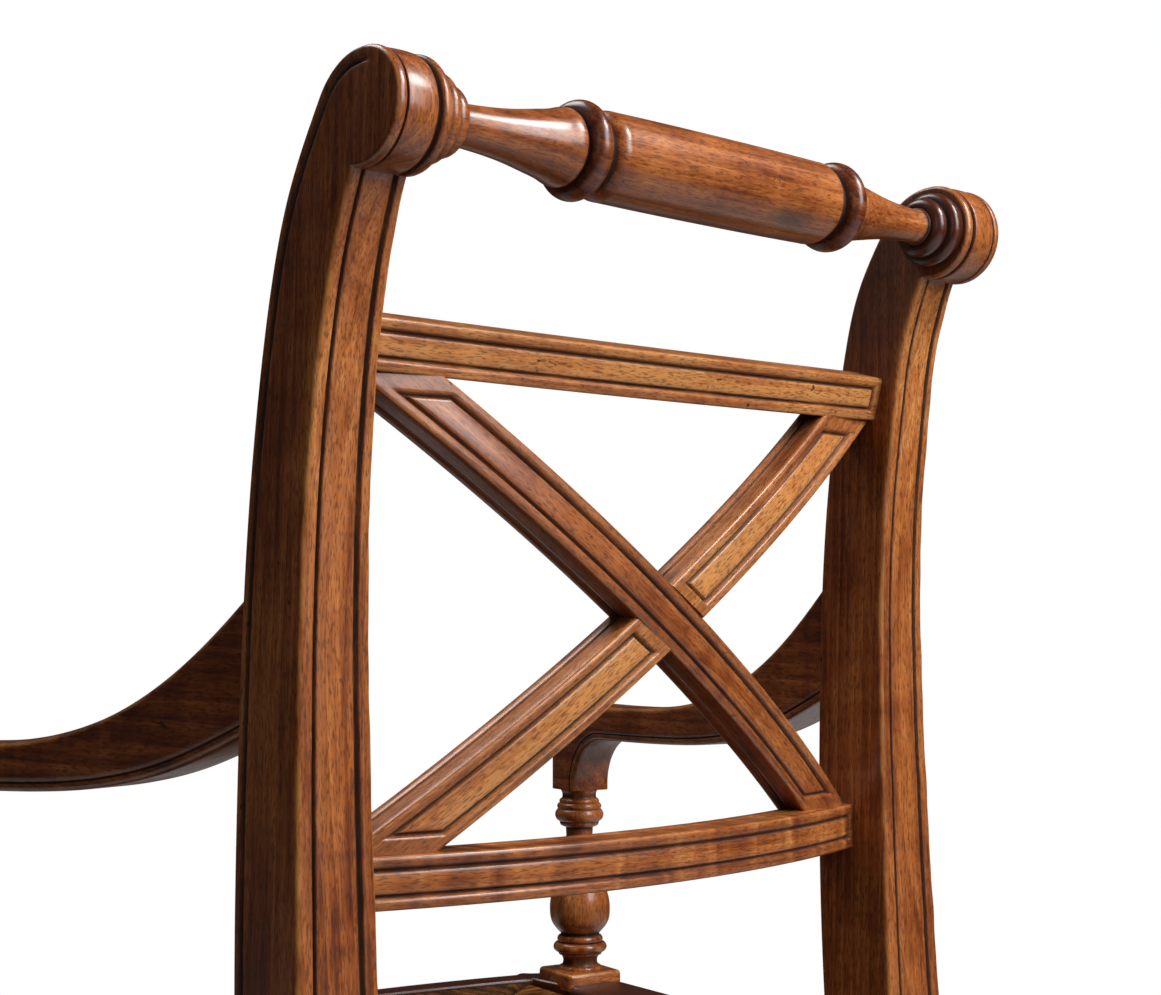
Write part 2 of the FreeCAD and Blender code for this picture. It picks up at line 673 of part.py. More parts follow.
def build():
    """All pieces of the chair, jointed and labelled."""
    stile = stile_blank()
    stiles = (stile, mirrored("far_stile", stile))
    crest_bore = pin_along("crest_bore", ("rail_end - 1", "crest_y", "crest_z"), (1, 0, 0),
                           "crest_tenon + fit", "tenon_long + 1")

    lean = Rotation(Vector(1, 0, 0), -size("upper_rail_lean"))
    upper_frame = Placement(Vector(0, size("upper_rail_y"), size("upper_rail_mid")), lean)
    lower_frame = Placement(Vector(0, size("lower_rail_y"), size("lower_rail_z")), Rotation())
    upper_low = "-rail_height / 2"
    upper_blank = bowed_rail("upper_rail_sawn", "upper_rail_bow", "upper_rail_thick", upper_low, upper_frame)
    lower_blank = bowed_rail("lower_rail_sawn", "lower_rail_bow", "lower_rail_thick", "0", lower_frame)
    upper = cut("upper_rail_fitted", upper_blank, *stiles)
    lower = cut("lower_rail_fitted", lower_blank, *stiles)
    upper_tenons = rail_tenons("upper_tenon", "upper_rail_thick", upper_low, upper_frame)
    lower_tenons = rail_tenons("lower_tenon", "lower_rail_thick", "0", lower_frame)
    (bar_a, bar_b), stubs = cross_bars(upper_blank, stiles)
    node("upper_back_rail", cut("upper_rail_mortised", fused("upper_rail_whole", upper, *upper_tenons), *stubs))
    node("lower_back_rail", cut("lower_rail_mortised", fused("lower_rail_whole", lower, *lower_tenons), *stubs))
    node("cross_bar_a", bar_a)
    node("cross_bar_b", bar_b)

    end, end_radius = CREST_HALF[-1][-1]
    ends = [("line", (end, end_radius), (end, 0)), ("line", (end, 0), (-end, 0)),
            ("line", (-end, 0), (-end, end_radius))]
    crest_place = Placement(Vector(0, size("crest_y"), size("crest_z")), Rotation())
    crest_blank = turned("crest_turning", backward(CREST_HALF) + list(CREST_HALF) + ends, "H_Axis", crest_place)
    crest_tenon = pin_along("crest_tenon", ("-rail_end - tenon_long + 0.5", "crest_y", "crest_z"), (1, 0, 0),
                            "crest_tenon", "2 * (rail_end + tenon_long - 0.5)")
    crest_fitted = cut("crest_fitted", crest_blank, *stiles)
    node("turned_top_rail", fused("crest_whole", crest_fitted, crest_tenon))

    dowel_x = "stile_x"
    dowels = []
    bores = []
    for height in ARM_DOWEL_HEIGHTS:
        start = (dowel_x, "arm_start_y - dowel_long / 2", height)
        dowels.append(pin_along("arm_dowel", start, (0, 1, 0), "dowel_radius", "dowel_long"))
        bores.append(pin_along("arm_dowel_bore", start, (0, 1, 0), "dowel_radius + fit", "dowel_long"))
    support_bore = pin_along("support_bore", ("support_x", "support_y", "block_low - 1"), (0, 0, 1),
                             "support_tenon + fit", "26")
    leg_bore = pin_along("leg_bore", ("support_x", "support_y", "434"), (0, 0, 1), "support_dowel + fit", "40")
    left_arm = node("left_arm", cut("arm_bored", arm_blank(stile), *bores, support_bore))
    left_support = node("left_arm_support", arm_support())

    front, rear, side, tenons = seat_rails(stiles)
    seat_recess = recess()
    blocks, screws = corner_blocks()
    all_screws = screws["front"] + screws["rear"]
    far_screws = [mirrored("far_screw", item) for item in all_screws]
    far_tenon = {key: mirrored("far_tenon", item) for key, item in tenons.items()}

    stile_foot = ("stile_x", 74)
    leg_foot = ("support_x", "support_y")
    glides = [glide("rear_glide", *stile_foot), glide("front_glide", *leg_foot)]

    back_hollows = [crest_bore, upper_tenons[0], lower_tenons[0]]
    seat_hollows = [tenons["rear"], tenons["side_rear"], glides[0]]
    left_stile = node("left_stile", cut("stile_mortised", stile, *back_hollows, *seat_hollows, *bores))
    left_leg = node("left_front_leg", cut("leg_mortised", front_leg(), leg_bore, tenons["front"],
                                          tenons["side_front"], glides[1], *screws["front"]))
    side_whole = fused("side_rail_whole", side, tenons["side_front"], tenons["side_rear"])
    left_side = node("left_seat_rail", cut("side_rail_rebated", side_whole, seat_recess, *screws["rear"]))
    front_whole = fused("front_rail_whole", front, tenons["front"], far_tenon["front"])
    front_screws = (screws["front"][0], far_screws[0])
    node("front_seat_rail", cut("front_rail_rebated", front_whole, seat_recess, *front_screws))
    rear_whole = fused("rear_rail_whole", rear, tenons["rear"], far_tenon["rear"])
    rear_screws = (screws["rear"][0], far_screws[2])
    node("rear_seat_rail", cut("rear_rail_rebated", rear_whole, seat_recess, *rear_screws))

    block_cuts = [cut(corner + "_block_bored", blocks[corner], *screws[corner]) for corner in ("front", "rear")]
    far_blocks = [mirrored("far_block", item) for item in block_cuts]
    node("corner_blocks", group("corner_block_group", *block_cuts, *far_blocks))
    node("corner_block_screws", group("screw_group", *all_screws, *far_screws))
    node("arm_dowels", group("dowel_group", *dowels, *[mirrored("far_dowel", item) for item in dowels]))
    node("foot_glides", group("glide_group", *glides, *[mirrored("far_glide", item) for item in glides]))

    slip_front, slip_rear, slip_side, front_tenon, rear_tenon = slip_boards()
    both_front = (front_tenon, mirrored("far_slip_front_tenon", front_tenon))
    both_rear = (rear_tenon, mirrored("far_slip_rear_tenon", rear_tenon))
    node("slip_frame_front", cut("slip_front_mortised", slip_front, *both_front))
    node("slip_frame_rear", cut("slip_rear_mortised", slip_rear, *both_rear))
    left_slip = node("slip_frame_left", fused("slip_side_whole", slip_side, front_tenon, rear_tenon))
    node("woven_seat", woven_seat())

    mirror_node("right_stile", left_stile)
    mirror_node("right_arm", left_arm)
    mirror_node("right_arm_support", left_support)
    mirror_node("right_front_leg", left_leg)
    mirror_node("right_seat_rail", left_side)
    mirror_node("slip_frame_right", left_slip)


def write_parts():
    """Check every object and shape, then write one file for each piece."""
    doc.recompute()
    for item in doc.Objects:
        if "Invalid" in item.State or "Error" in item.State:
            raise RuntimeError("%s (%s) could not be built" % (item.Name, item.Label))
    box_all = FreeCAD.BoundBox()
    for item in nodes:
        shape = item.Shape
        if shape.isNull() or not shape.isValid():
            raise RuntimeError("%s has no valid shape" % item.Label)
        box_all.add(shape.BoundBox)
        print("%-22s solids %d  volume %.0f" % (item.Label, len(shape.Solids), shape.Volume))
    print("overall", box_all)
    os.makedirs("parts", exist_ok=True)
    for item in nodes:
        item.Shape.exportStep("parts/%s.step" % item.Label)


build()
write_parts()
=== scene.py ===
import math

import bmesh
import bpy
import numpy as np
from mathutils import Matrix


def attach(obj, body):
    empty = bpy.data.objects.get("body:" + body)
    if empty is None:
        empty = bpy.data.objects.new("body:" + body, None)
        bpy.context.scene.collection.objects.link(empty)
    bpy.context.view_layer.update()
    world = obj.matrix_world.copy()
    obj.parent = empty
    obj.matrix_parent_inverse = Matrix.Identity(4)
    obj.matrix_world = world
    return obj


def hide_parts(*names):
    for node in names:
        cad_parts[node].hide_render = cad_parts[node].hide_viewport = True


# Cross frame dining armchair: scrolled stiles, turned top rail, panelled cross back, swept arms, woven seat.
# Shapes are worked out in millimetres in the chair's drawing frame, where y = 0 is the waist of the stiles'
# back face and the chair faces -y. They go into the shared frame, in metres, when a mesh is made. WAIST is
# the waist's y there.
MM = 0.001
WAIST = 174.0

# Stiles: distance from the middle of the chair, height of their foot above the floor, and half their
# thickness at three heights.
STILE_X = 210.0
FOOT_Z = 3.0
STILE_HALF = ((0, 470, 1008), (19, 25.1, 15))

# Drums of the scrolls: (y, z) of the left and the right one, and their radius. Then (y, z) of the top rail's
# left end.
DRUM = {1: (37.0, 968.0), -1: (34.6, 965.6)}
DRUM_R = 27.8
CREST = (39.5, 968.0)

# Cross of the back: height of the crossing, and how far its bars lean from upright.
CROSS_Z = 738.8
LEAN = math.radians(55.0)

# Left arm in plan: (x, y) of its support, and of its start at the stile.
SUPPORT = (275.0, -355.0)
ARM_START = (210.0, -48.0)

# Metres by which a board's pattern is shifted for each unit of its seed, so that no two boards look alike.
BOARD_SHIFT = np.array((0.37, 0.61, 0.83))

# Scale of a noise pattern whose spots are about one unit wide.
SPOT = 0.6

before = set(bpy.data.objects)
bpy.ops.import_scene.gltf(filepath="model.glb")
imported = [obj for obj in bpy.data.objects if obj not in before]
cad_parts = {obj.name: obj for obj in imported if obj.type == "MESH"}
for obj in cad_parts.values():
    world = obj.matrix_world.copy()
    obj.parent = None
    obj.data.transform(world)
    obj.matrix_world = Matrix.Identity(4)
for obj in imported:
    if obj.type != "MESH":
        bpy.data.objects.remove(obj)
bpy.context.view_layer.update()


def through(points, count):
    """Natural cubic spline through points, by chord length, read at evenly spaced places."""
    p = np.array(points, float)
    t = np.concatenate([[0.0], np.cumsum(np.linalg.norm(np.diff(p, axis=0), axis=1))])
    h = np.diff(t)[:, None]
    slope = np.diff(p, axis=0) / h
    inner = np.arange(1, len(p) - 1)
    system = np.eye(len(p))
    system[inner, inner - 1] = h[:-1, 0]
    system[inner, inner] = 2 * (h[:-1, 0] + h[1:, 0])
    system[inner, inner + 1] = h[1:, 0]
    bends = np.zeros_like(p)
    bends[1:-1] = 6 * np.diff(slope, axis=0)
    bends = np.linalg.solve(system, bends)
    u = np.linspace(0, t[-1], count)
    k = np.clip(np.searchsorted(t, u, side="right") - 1, 0, len(p) - 2)
    a = (t[k + 1] - u)[:, None]
    b = (u - t[k])[:, None]
    g = h[k]
    ends = (p[k] / g - bends[k] * g / 6) * a + (p[k + 1] / g - bends[k + 1] * g / 6) * b
    return bends[k] * a ** 3 / (6 * g) + bends[k + 1] * b ** 3 / (6 * g) + ends


def arc(start, via, end, count):
    """Circle arc from start to end by way of a third point: centre from the two chords' middles."""
    a, b, c = (np.array(point, float) for point in (start, via, end))
    rows = np.array([b - a, c - a])
    centre = np.linalg.solve(2 * rows, [b @ b - a @ a, c @ c - a @ a])
    angles = [math.atan2(*(point - centre)[::-1]) for point in (a, b, c)]
    turn = (angles[2] - angles[0]) % math.tau
    if (angles[1] - angles[0]) % math.tau > turn:
        turn -= math.tau
    swing = angles[0] + np.linspace(0, turn, count)
    return centre + np.hypot(*(a - centre)) * np.stack([np.cos(swing), np.sin(swing)], 1)


def outline(steps, spacing=1.2):
    """Steps of an outline, each a line, an arc through three points or a spline, as one row of points."""
    runs = []
    for kind, *points in steps:
        length = np.linalg.norm(np.diff(np.array(points, float), axis=0), axis=1).sum()
        count = max(3, int(length / spacing))
        if kind == "arc":
            run = arc(*points, max(7, count))
        elif kind == "line":
            run = np.linspace(points[0], points[1], 3 if length < 6 else count)
        else:
            run = through(points, count)
        runs.append(run if not runs else run[1:])
    return np.concatenate(runs)


def along(points):
    """Distance along a row of points."""
    return np.concatenate([[0.0], np.cumsum(np.linalg.norm(np.diff(points, axis=0), axis=1))])


def resampled(points, places):
    """Row of points read at given distances along it."""
    run = along(points)
    return np.stack([np.interp(places, run, points[:, axis]) for axis in range(points.shape[1])], 1)


def inward(points, turn):
    """Unit normals of a row of points, on its right for turn 1 and on its left for turn -1."""
    t = np.gradient(points, axis=0)
    t /= np.maximum(np.linalg.norm(t, axis=1, keepdims=True), 1e-9)
    return turn * np.stack([t[:, 1], -t[:, 0]], 1)


def stepped(x, low, high):
    """Smooth step from 0 at low to 1 at high."""
    t = np.clip((x - low) / (high - low), 0, 1)
    return t * t * (3 - 2 * t)


def surface(name, rows, material, body="frame", grain=None, stain_and_shade=0.0, worn=0.0, figured=0.3, tone_and_painted_light=0.0,
            stand_for=(), caps=True, sharp=50.0, seed=0.0):
    """Closed skin over a grid of rows, each row a closed loop of points in millimetres: four-sided faces
    between neighbouring rows, and with caps one flat face over the first and the last row. The grain
    attribute holds the wood's own coordinates with its length as z. Further attributes say where dark
    stain has gathered and where shade is painted in, where edges are rubbed, how strongly bands cross the
    grain, and how much lighter than the rest the wood is, painted light and shade included."""
    count, around = rows.shape[:2]
    places = rows.reshape(-1, 3) + [0, WAIST, 0]
    start = (np.arange(count - 1) * around)[:, None] + np.arange(around)
    turn = (np.arange(count - 1) * around)[:, None] + (np.arange(around) + 1) % around
    faces = np.stack([start, turn, turn + around, start + around], -1).reshape(-1, 4).tolist()
    if caps:
        faces.append(list(range(around))[::-1])
        faces.append(list(range((count - 1) * around, count * around)))
    mesh = bpy.data.meshes.new(name)
    mesh.from_pydata((places * MM).tolist(), [], faces)
    lumber = rows if grain is None else grain
    lumber = lumber.reshape(-1, 3) * MM + BOARD_SHIFT * seed
    mesh.attributes.new("grain", "FLOAT_VECTOR", "POINT").data.foreach_set("vector", lumber.ravel())
    for title, value in (("stain_and_shade", stain_and_shade), ("worn", worn), ("figured", figured), ("tone_and_painted_light", tone_and_painted_light)):
        values = np.broadcast_to(np.asarray(value, float), (count, around)).ravel()
        mesh.attributes.new(title, "FLOAT", "POINT").data.foreach_set("value", values)
    work = bmesh.new()
    work.from_mesh(mesh)
    bmesh.ops.remove_doubles(work, verts=work.verts, dist=2e-6)
    bmesh.ops.dissolve_degenerate(work, edges=work.edges, dist=1e-7)
    bmesh.ops.recalc_face_normals(work, faces=work.faces)
    work.to_mesh(mesh)
    work.free()
    mesh.shade_smooth()
    mesh.set_sharp_from_angle(angle=math.radians(sharp))
    mesh.materials.append(material)
    piece = bpy.data.objects.new(name + "_shaped" if name in stand_for else name, mesh)
    bpy.context.scene.collection.objects.link(piece)
    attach(piece, body)
    if stand_for:
        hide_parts(*stand_for)
    return piece


def linear(code):
    """sRGB hex colour as linear red, green, blue and full opacity."""
    parts = np.array([int(code[i:i + 2], 16) for i in (1, 3, 5)]) / 255
    low = parts / 12.92
    high = ((parts + 0.055) / 1.055) ** 2.4
    return (*np.where(parts <= 0.04045, low, high).tolist(), 1.0)


def add(tree, kind, inputs=None, out=0, stops=(), **settings):
    """New node of a kind: its settings, its inputs set to values or linked to other nodes' outputs, and the
    stops (place, hex colour) of a colour ramp. Gives back one of its outputs."""
    item = tree.nodes.new(kind)
    for key, value in settings.items():
        setattr(item, key, value)
    for key, value in (inputs or {}).items():
        if isinstance(value, bpy.types.NodeSocket):
            tree.links.new(value, item.inputs[key])
        else:
            item.inputs[key].default_value = value
    for _ in stops[2:]:
        item.color_ramp.elements.new(0.5)
    for number, (place, code) in enumerate(stops):
        item.color_ramp.elements[number].position = place
        item.color_ramp.elements[number].color = linear(code)
    return item.outputs[out]


def new_material(name):
    """Empty node material with its shader: material, tree and shader."""
    material = bpy.data.materials.new(name)
    material.use_nodes = True
    tree = material.node_tree
    return material, tree, tree.nodes["Principled BSDF"]


def walnut_lacquered():
    """Walnut, stained brown, rubbed along the edges, knocked about on purpose and lacquered to a soft gloss.
    The eye sees growth rings, streaks and short pores along the grain, gold and dark bands across it, a few
    knots, dark stain in the grooves, painted shade in nooks and painted light and shade on some parts, and
    dents with a dark bottom."""
    material, tree, shader = new_material("walnut_stained_lacquered")
    lumber = add(tree, "ShaderNodeAttribute", out="Vector", attribute_name="grain")
    stain_and_shade, worn, figured, tone_and_painted_light = (add(tree, "ShaderNodeAttribute", out="Fac", attribute_name=title)
                                  for title in ("stain_and_shade", "worn", "figured", "tone_and_painted_light"))

    # Patterns of spots: millimetres across and along the grain, detail, roughness, distortion.
    spots = {}
    for title, across, length, detail, rough, warp in (
            ("tone", 26, 130, 2.0, 0.5, 0.8), ("streak", 3.4, 80, 3.0, 0.6, 0.8),
            ("fibre", 0.9, 15, 2.0, 0.6, 0.0), ("figure", 46, 13, 2.0, 0.55, 0.8),
            ("pore", 0.5, 2.9, 1.0, 0.5, 0.0), ("smudge", 11, 24, 3.0, 0.6, 0.9),
            ("rub", 4, 12, 2.0, 0.6, 0.0), ("fleck", 2.3, 3.4, 1.0, 0.5, 0.3),
            ("patch", 40, 55, 1.0, 0.5, 0.0), ("gloss", 8, 34, 2.0, 0.6, 0.0),
            ("hollow", 15, 45, 2.0, 0.5, 0.0)):
        scale = (1000 / across, 1000 / across, 1000 / length)
        at = add(tree, "ShaderNodeMapping", {"Vector": lumber, "Scale": scale})
        spots[title] = add(tree, "ShaderNodeTexNoise", {"Vector": at, "Scale": SPOT, "Detail": detail,
                                                        "Roughness": rough, "Distortion": warp})

    # Growth rings 6.5 mm apart that wander along the board. At scale 1 the node's rings are 0.314 m apart.
    sawn = add(tree, "ShaderNodeMapping", {"Vector": lumber, "Scale": (1, 1, 0.1)})
    rings = add(tree, "ShaderNodeTexWave",
                {"Vector": sawn, "Scale": 0.314 / 0.0065, "Distortion": 9.0, "Detail": 2.0,
                 "Detail Scale": 0.45},
                out="Fac", wave_type="RINGS", rings_direction="Z", wave_profile="SAW")

    # Knots, about one in each 85 by 85 by 260 mm of wood.
    at = add(tree, "ShaderNodeMapping", {"Vector": lumber, "Scale": (1000 / 85, 1000 / 85, 1000 / 260)})
    eye = add(tree, "ShaderNodeTexVoronoi", {"Vector": at, "Scale": 1.0}, out="Distance")
    knots = add(tree, "ShaderNodeMapRange", {"Value": eye, "From Min": 0.09, "From Max": 0.03})

    # Tone of the wood from the patterns, each with its share, on top of a given lightness that holds painted
    # light and shade on some parts.
    blend = tone_and_painted_light
    for pattern, share in (
            (spots["tone"], 0.34), (spots["streak"], 0.3), (spots["fibre"], 0.24), (rings, 0.08)):
        blend = add(tree, "ShaderNodeMath", {0: pattern, 1: share, 2: blend}, operation="MULTIPLY_ADD")
    bands = add(tree, "ShaderNodeMapRange", {"Value": spots["figure"], "From Min": 0.3, "From Max": 0.7,
                                             "To Min": -0.15, "To Max": 0.15})
    blend = add(tree, "ShaderNodeMath", {0: bands, 1: figured, 2: blend}, operation="MULTIPLY_ADD")
    level = add(tree, "ShaderNodeMapRange", {"Value": blend, "From Min": 0.28, "From Max": 0.68})
    wood = add(tree, "ShaderNodeValToRGB", {"Fac": level}, stops=(
        (0.0, "#451A09"), (0.25, "#723512"), (0.5, "#985325"), (0.75, "#B36B35"), (1.0, "#CC8A4E")))

    # What lies over that tone, from the lowest to the topmost: pattern, its range, greatest cover, colour.
    dents = add(tree, "ShaderNodeMapRange", {"Value": spots["patch"], "From Min": 0.42, "From Max": 0.6})
    dents = add(tree, "ShaderNodeMath", {0: spots["fleck"], 1: dents}, operation="MULTIPLY")
    rubbed = add(tree, "ShaderNodeMath", {0: spots["rub"], 1: worn}, operation="MULTIPLY")
    # Darkest layer: stain gathered in the grooves, together with painted shade in nooks and under the
    # scroll.
    soaked = add(tree, "ShaderNodeMapRange", {"Value": spots["gloss"], "From Min": 0.1, "From Max": 0.45})
    stained_and_shaded = add(tree, "ShaderNodeMath", {0: soaked, 1: stain_and_shade}, operation="MULTIPLY")
    for pattern, low, high, cover, code in (
            (spots["pore"], 0.52, 0.64, 0.55, "#3A1707"), (spots["smudge"], 0.53, 0.75, 0.18, "#4E2210"),
            (knots, 0.0, 1.0, 0.75, "#2A1106"), (rubbed, 0.3, 0.62, 0.5, "#C98C48"),
            (dents, 0.72, 0.78, 0.85, "#1E0D06"), (stained_and_shaded, 0.0, 1.0, 0.9, "#190A05")):
        over = add(tree, "ShaderNodeMapRange",
                   {"Value": pattern, "From Min": low, "From Max": high, "To Max": cover})
        wood = add(tree, "ShaderNodeMix", {0: over, 6: wood, 7: linear(code)}, out=2, data_type="RGBA")
    tree.links.new(wood, shader.inputs["Base Color"])

    # Lacquer: soft gloss that thins out in the grooves.
    gloss = add(tree, "ShaderNodeMapRange", {"Value": spots["gloss"], "From Min": 0.3, "From Max": 0.7,
                                             "To Min": 0.28, "To Max": 0.44})
    gloss = add(tree, "ShaderNodeMath", {0: stain_and_shade, 1: 0.4, 2: gloss}, operation="MULTIPLY_ADD")
    tree.links.new(gloss, shader.inputs["Roughness"])
    coat = add(tree, "ShaderNodeMapRange", {"Value": stain_and_shade, "To Min": 0.4, "To Max": 0.0})
    tree.links.new(coat, shader.inputs["Coat Weight"])
    shader.inputs["IOR"].default_value = 1.45
    shader.inputs["Specular IOR Level"].default_value = 0.4
    shader.inputs["Coat Roughness"].default_value = 0.2
    shader.inputs["Coat IOR"].default_value = 1.5

    # Relief: shallow hollows, fibres, sunken pores and dents.
    height = 0.0
    for pattern, share in (
            (spots["hollow"], 0.6), (spots["fibre"], 0.1), (spots["pore"], -0.08), (dents, -0.9)):
        height = add(tree, "ShaderNodeMath", {0: pattern, 1: share, 2: height}, operation="MULTIPLY_ADD")
    bump = add(tree, "ShaderNodeBump", {"Height": height, "Strength": 0.5, "Distance": 0.0005})
    tree.links.new(bump, shader.inputs["Normal"])
    return material


def beech_planed():
    """Beech, planed and left bare inside the seat: pale, with fine darker flecks along the board, about
    1.7 mm wide and 17 mm long."""
    material, tree, shader = new_material("beech_planed_bare")
    place = add(tree, "ShaderNodeTexCoord", out="Object")
    at = add(tree, "ShaderNodeMapping", {"Vector": place, "Scale": (60, 600, 600)})
    fleck = add(tree, "ShaderNodeTexNoise", {"Vector": at, "Scale": SPOT, "Detail": 3.0})
    tint = add(tree, "ShaderNodeValToRGB", {"Fac": fleck},
               stops=((0.3, "#A97E52"), (0.5, "#C39A6C"), (0.7, "#D2AE82")))
    tree.links.new(tint, shader.inputs["Base Color"])
    bump = add(tree, "ShaderNodeBump", {"Height": fleck, "Strength": 0.3, "Distance": 0.0003})
    tree.links.new(bump, shader.inputs["Normal"])
    shader.inputs["Roughness"].default_value = 0.62
    return material


def steel_zinc():
    """Steel screws with a zinc coat: grey metal with soft spangle of about 0.7 mm."""
    material, tree, shader = new_material("steel_zinc_plated")
    place = add(tree, "ShaderNodeTexCoord", out="Object")
    spangle = add(tree, "ShaderNodeTexNoise", {"Vector": place, "Scale": 900.0, "Detail": 2.0})
    tint = add(tree, "ShaderNodeValToRGB", {"Fac": spangle}, stops=((0.35, "#8E8C86"), (0.65, "#B5B2A8")))
    tree.links.new(tint, shader.inputs["Base Color"])
    shader.inputs["Metallic"].default_value = 1.0
    shader.inputs["Roughness"].default_value = 0.38
    return material


def nylon_moulded():
    """Nylon foot glides, moulded dark brown: matt with a grit of about 0.4 mm, coarse enough to show."""
    material, tree, shader = new_material("nylon_moulded_brown")
    place = add(tree, "ShaderNodeTexCoord", out="Object")
    grit = add(tree, "ShaderNodeTexNoise", {"Vector": place, "Scale": 1400.0, "Detail": 1.0})
    tint = add(tree, "ShaderNodeValToRGB", {"Fac": grit}, stops=((0.3, "#231B15"), (0.7, "#33281F")))
    tree.links.new(tint, shader.inputs["Base Color"])
    bump = add(tree, "ShaderNodeBump", {"Height": grit, "Strength": 0.3, "Distance": 0.0002})
    tree.links.new(bump, shader.inputs["Normal"])
    shader.inputs["Roughness"].default_value = 0.55
    return material


def rush_twisted():
    """Rush cords, twisted by hand, woven and varnished: golden brown fibres, about 2.4 mm wide and 25 mm
    long, that wind round each cord once in 8 mm, and painted shade in the gaps between the cords."""
    material, tree, shader = new_material("rush_twisted_woven")
    lumber = add(tree, "ShaderNodeAttribute", out="Vector", attribute_name="grain")
    stain_and_shade = add(tree, "ShaderNodeAttribute", out="Fac", attribute_name="stain_and_shade")
    at = add(tree, "ShaderNodeMapping", {"Vector": lumber, "Scale": (420, 420, 40)})
    strand = add(tree, "ShaderNodeTexNoise", {"Vector": at, "Scale": SPOT, "Detail": 3.0})
    tint = add(tree, "ShaderNodeValToRGB", {"Fac": strand},
               stops=((0.25, "#261204"), (0.45, "#4E2C10"), (0.62, "#7A4A1E"), (0.8, "#9E6E34")))
    # Painted shade: the gaps between cords and the dips at the seams are darkened.
    shade = add(tree, "ShaderNodeMix", {0: stain_and_shade, 6: tint, 7: linear("#1A0C04")}, out=2, data_type="RGBA")
    tree.links.new(shade, shader.inputs["Base Color"])
    twist = add(tree, "ShaderNodeTexWave",
                {"Vector": lumber, "Scale": 75.0, "Distortion": 3.0, "Detail": 2.0, "Detail Scale": 2.0},
                out="Fac", wave_type="BANDS", bands_direction="DIAGONAL")
    bump = add(tree, "ShaderNodeBump", {"Height": twist, "Strength": 0.6, "Distance": 0.0008})
    tree.links.new(bump, shader.inputs["Normal"])
    shader.inputs["Roughness"].default_value = 0.5
    shader.inputs["Specular IOR Level"].default_value = 0.12
    return material


WALNUT = walnut_lacquered()
BEECH = beech_planed()
STEEL = steel_zinc()
NYLON = nylon_moulded()
RUSH = rush_twisted()

# Parts of a stile's section, from the middle of its front to the middle of its back: edge that a point hangs
# on (0 front, 1 back), share of the half thickness, further distance sideways, distance in from that edge,
# stain, wear.
FRONT_OUTER = (
    (0, 0.0, 0.0, 0.0, 0, 0), (0, 0.35, -2.2, 0.06, 0, 0), (0, 0.7, -4.5, 0.22, 0, 0),
    (0, 0.9, -5.8, 0.36, 0.1, 0), (0, 1.0, -6.6, 0.5, 0.3, 0.4), (0, 1.0, -6.4, 0.9, 0.7, 0),
    (0, 1.0, -6.1, 1.8, 1, 0), (0, 1.0, -5.7, 1.8, 1, 0), (0, 1.0, -5.4, 0.8, 0.7, 0),
    (0, 1.0, -5.0, 0.3, 0.2, 0.4), (0, 1.0, -4.2, 0.05, 0, 0.6), (0, 1.0, -3.0, -0.05, 0, 0.3),
    (0, 1.0, -1.8, 0.15, 0, 0.6), (0, 1.0, -0.8, 0.65, 0, 0.9), (0, 1.0, -0.2, 1.4, 0, 0.6),
    (0, 1.0, 0.0, 2.3, 0, 0),
)
FRONT_INNER = (
    (0, 0.0, 0.0, 0.0, 0, 0), (0, 0.35, -2.9, 0.06, 0, 0), (0, 0.7, -5.9, 0.24, 0, 0),
    (0, 0.9, -7.8, 0.42, 0.1, 0), (0, 1.0, -8.7, 0.6, 0.3, 0.4), (0, 1.0, -8.4, 1.0, 0.7, 0),
    (0, 1.0, -8.1, 2.2, 1, 0), (0, 1.0, -7.4, 2.9, 1, 0), (0, 1.0, -6.5, 3.0, 1, 0),
    (0, 1.0, -5.9, 2.6, 1, 0), (0, 1.0, -5.6, 1.4, 0.8, 0), (0, 1.0, -5.2, 0.6, 0.3, 0.4),
    (0, 1.0, -4.4, 0.1, 0, 0.6), (0, 1.0, -3.2, -0.05, 0, 0.3), (0, 1.0, -1.9, 0.15, 0, 0.6),
    (0, 1.0, -0.9, 0.65, 0, 0.9), (0, 1.0, -0.2, 1.4, 0, 0.6), (0, 1.0, 0.0, 2.3, 0, 0),
)
SIDE_OUTER = (
    (0, 1.0, 0.0, 4.4, 0.1, 0), (0, 1.0, 0.0, 5.2, 0.3, 0.4), (0, 1.0, -0.4, 5.6, 0.8, 0),
    (0, 1.0, -1.7, 6.1, 1, 0), (0, 1.0, -2.2, 7.0, 1, 0), (0, 1.0, -1.7, 7.9, 1, 0),
    (0, 1.0, -0.4, 8.4, 0.8, 0), (0, 1.0, 0.0, 8.9, 0.3, 0.4), (0, 1.0, 0.0, 10.4, 0.1, 0),
    (1, 1.0, 0.0, 14.0, 0, 0), (1, 1.0, 0.0, 8.0, 0, 0),
)
SIDE_INNER = (
    (0, 1.0, 0.0, 5.0, 0, 0), (0, 1.0, 0.0, 9.0, 0, 0), (1, 1.0, 0.0, 14.0, 0, 0), (1, 1.0, 0.0, 8.0, 0, 0),
)
# Depth in from the front edge at which a section's front ends and its sides begin.
FRONT_DEPTH = 2.3


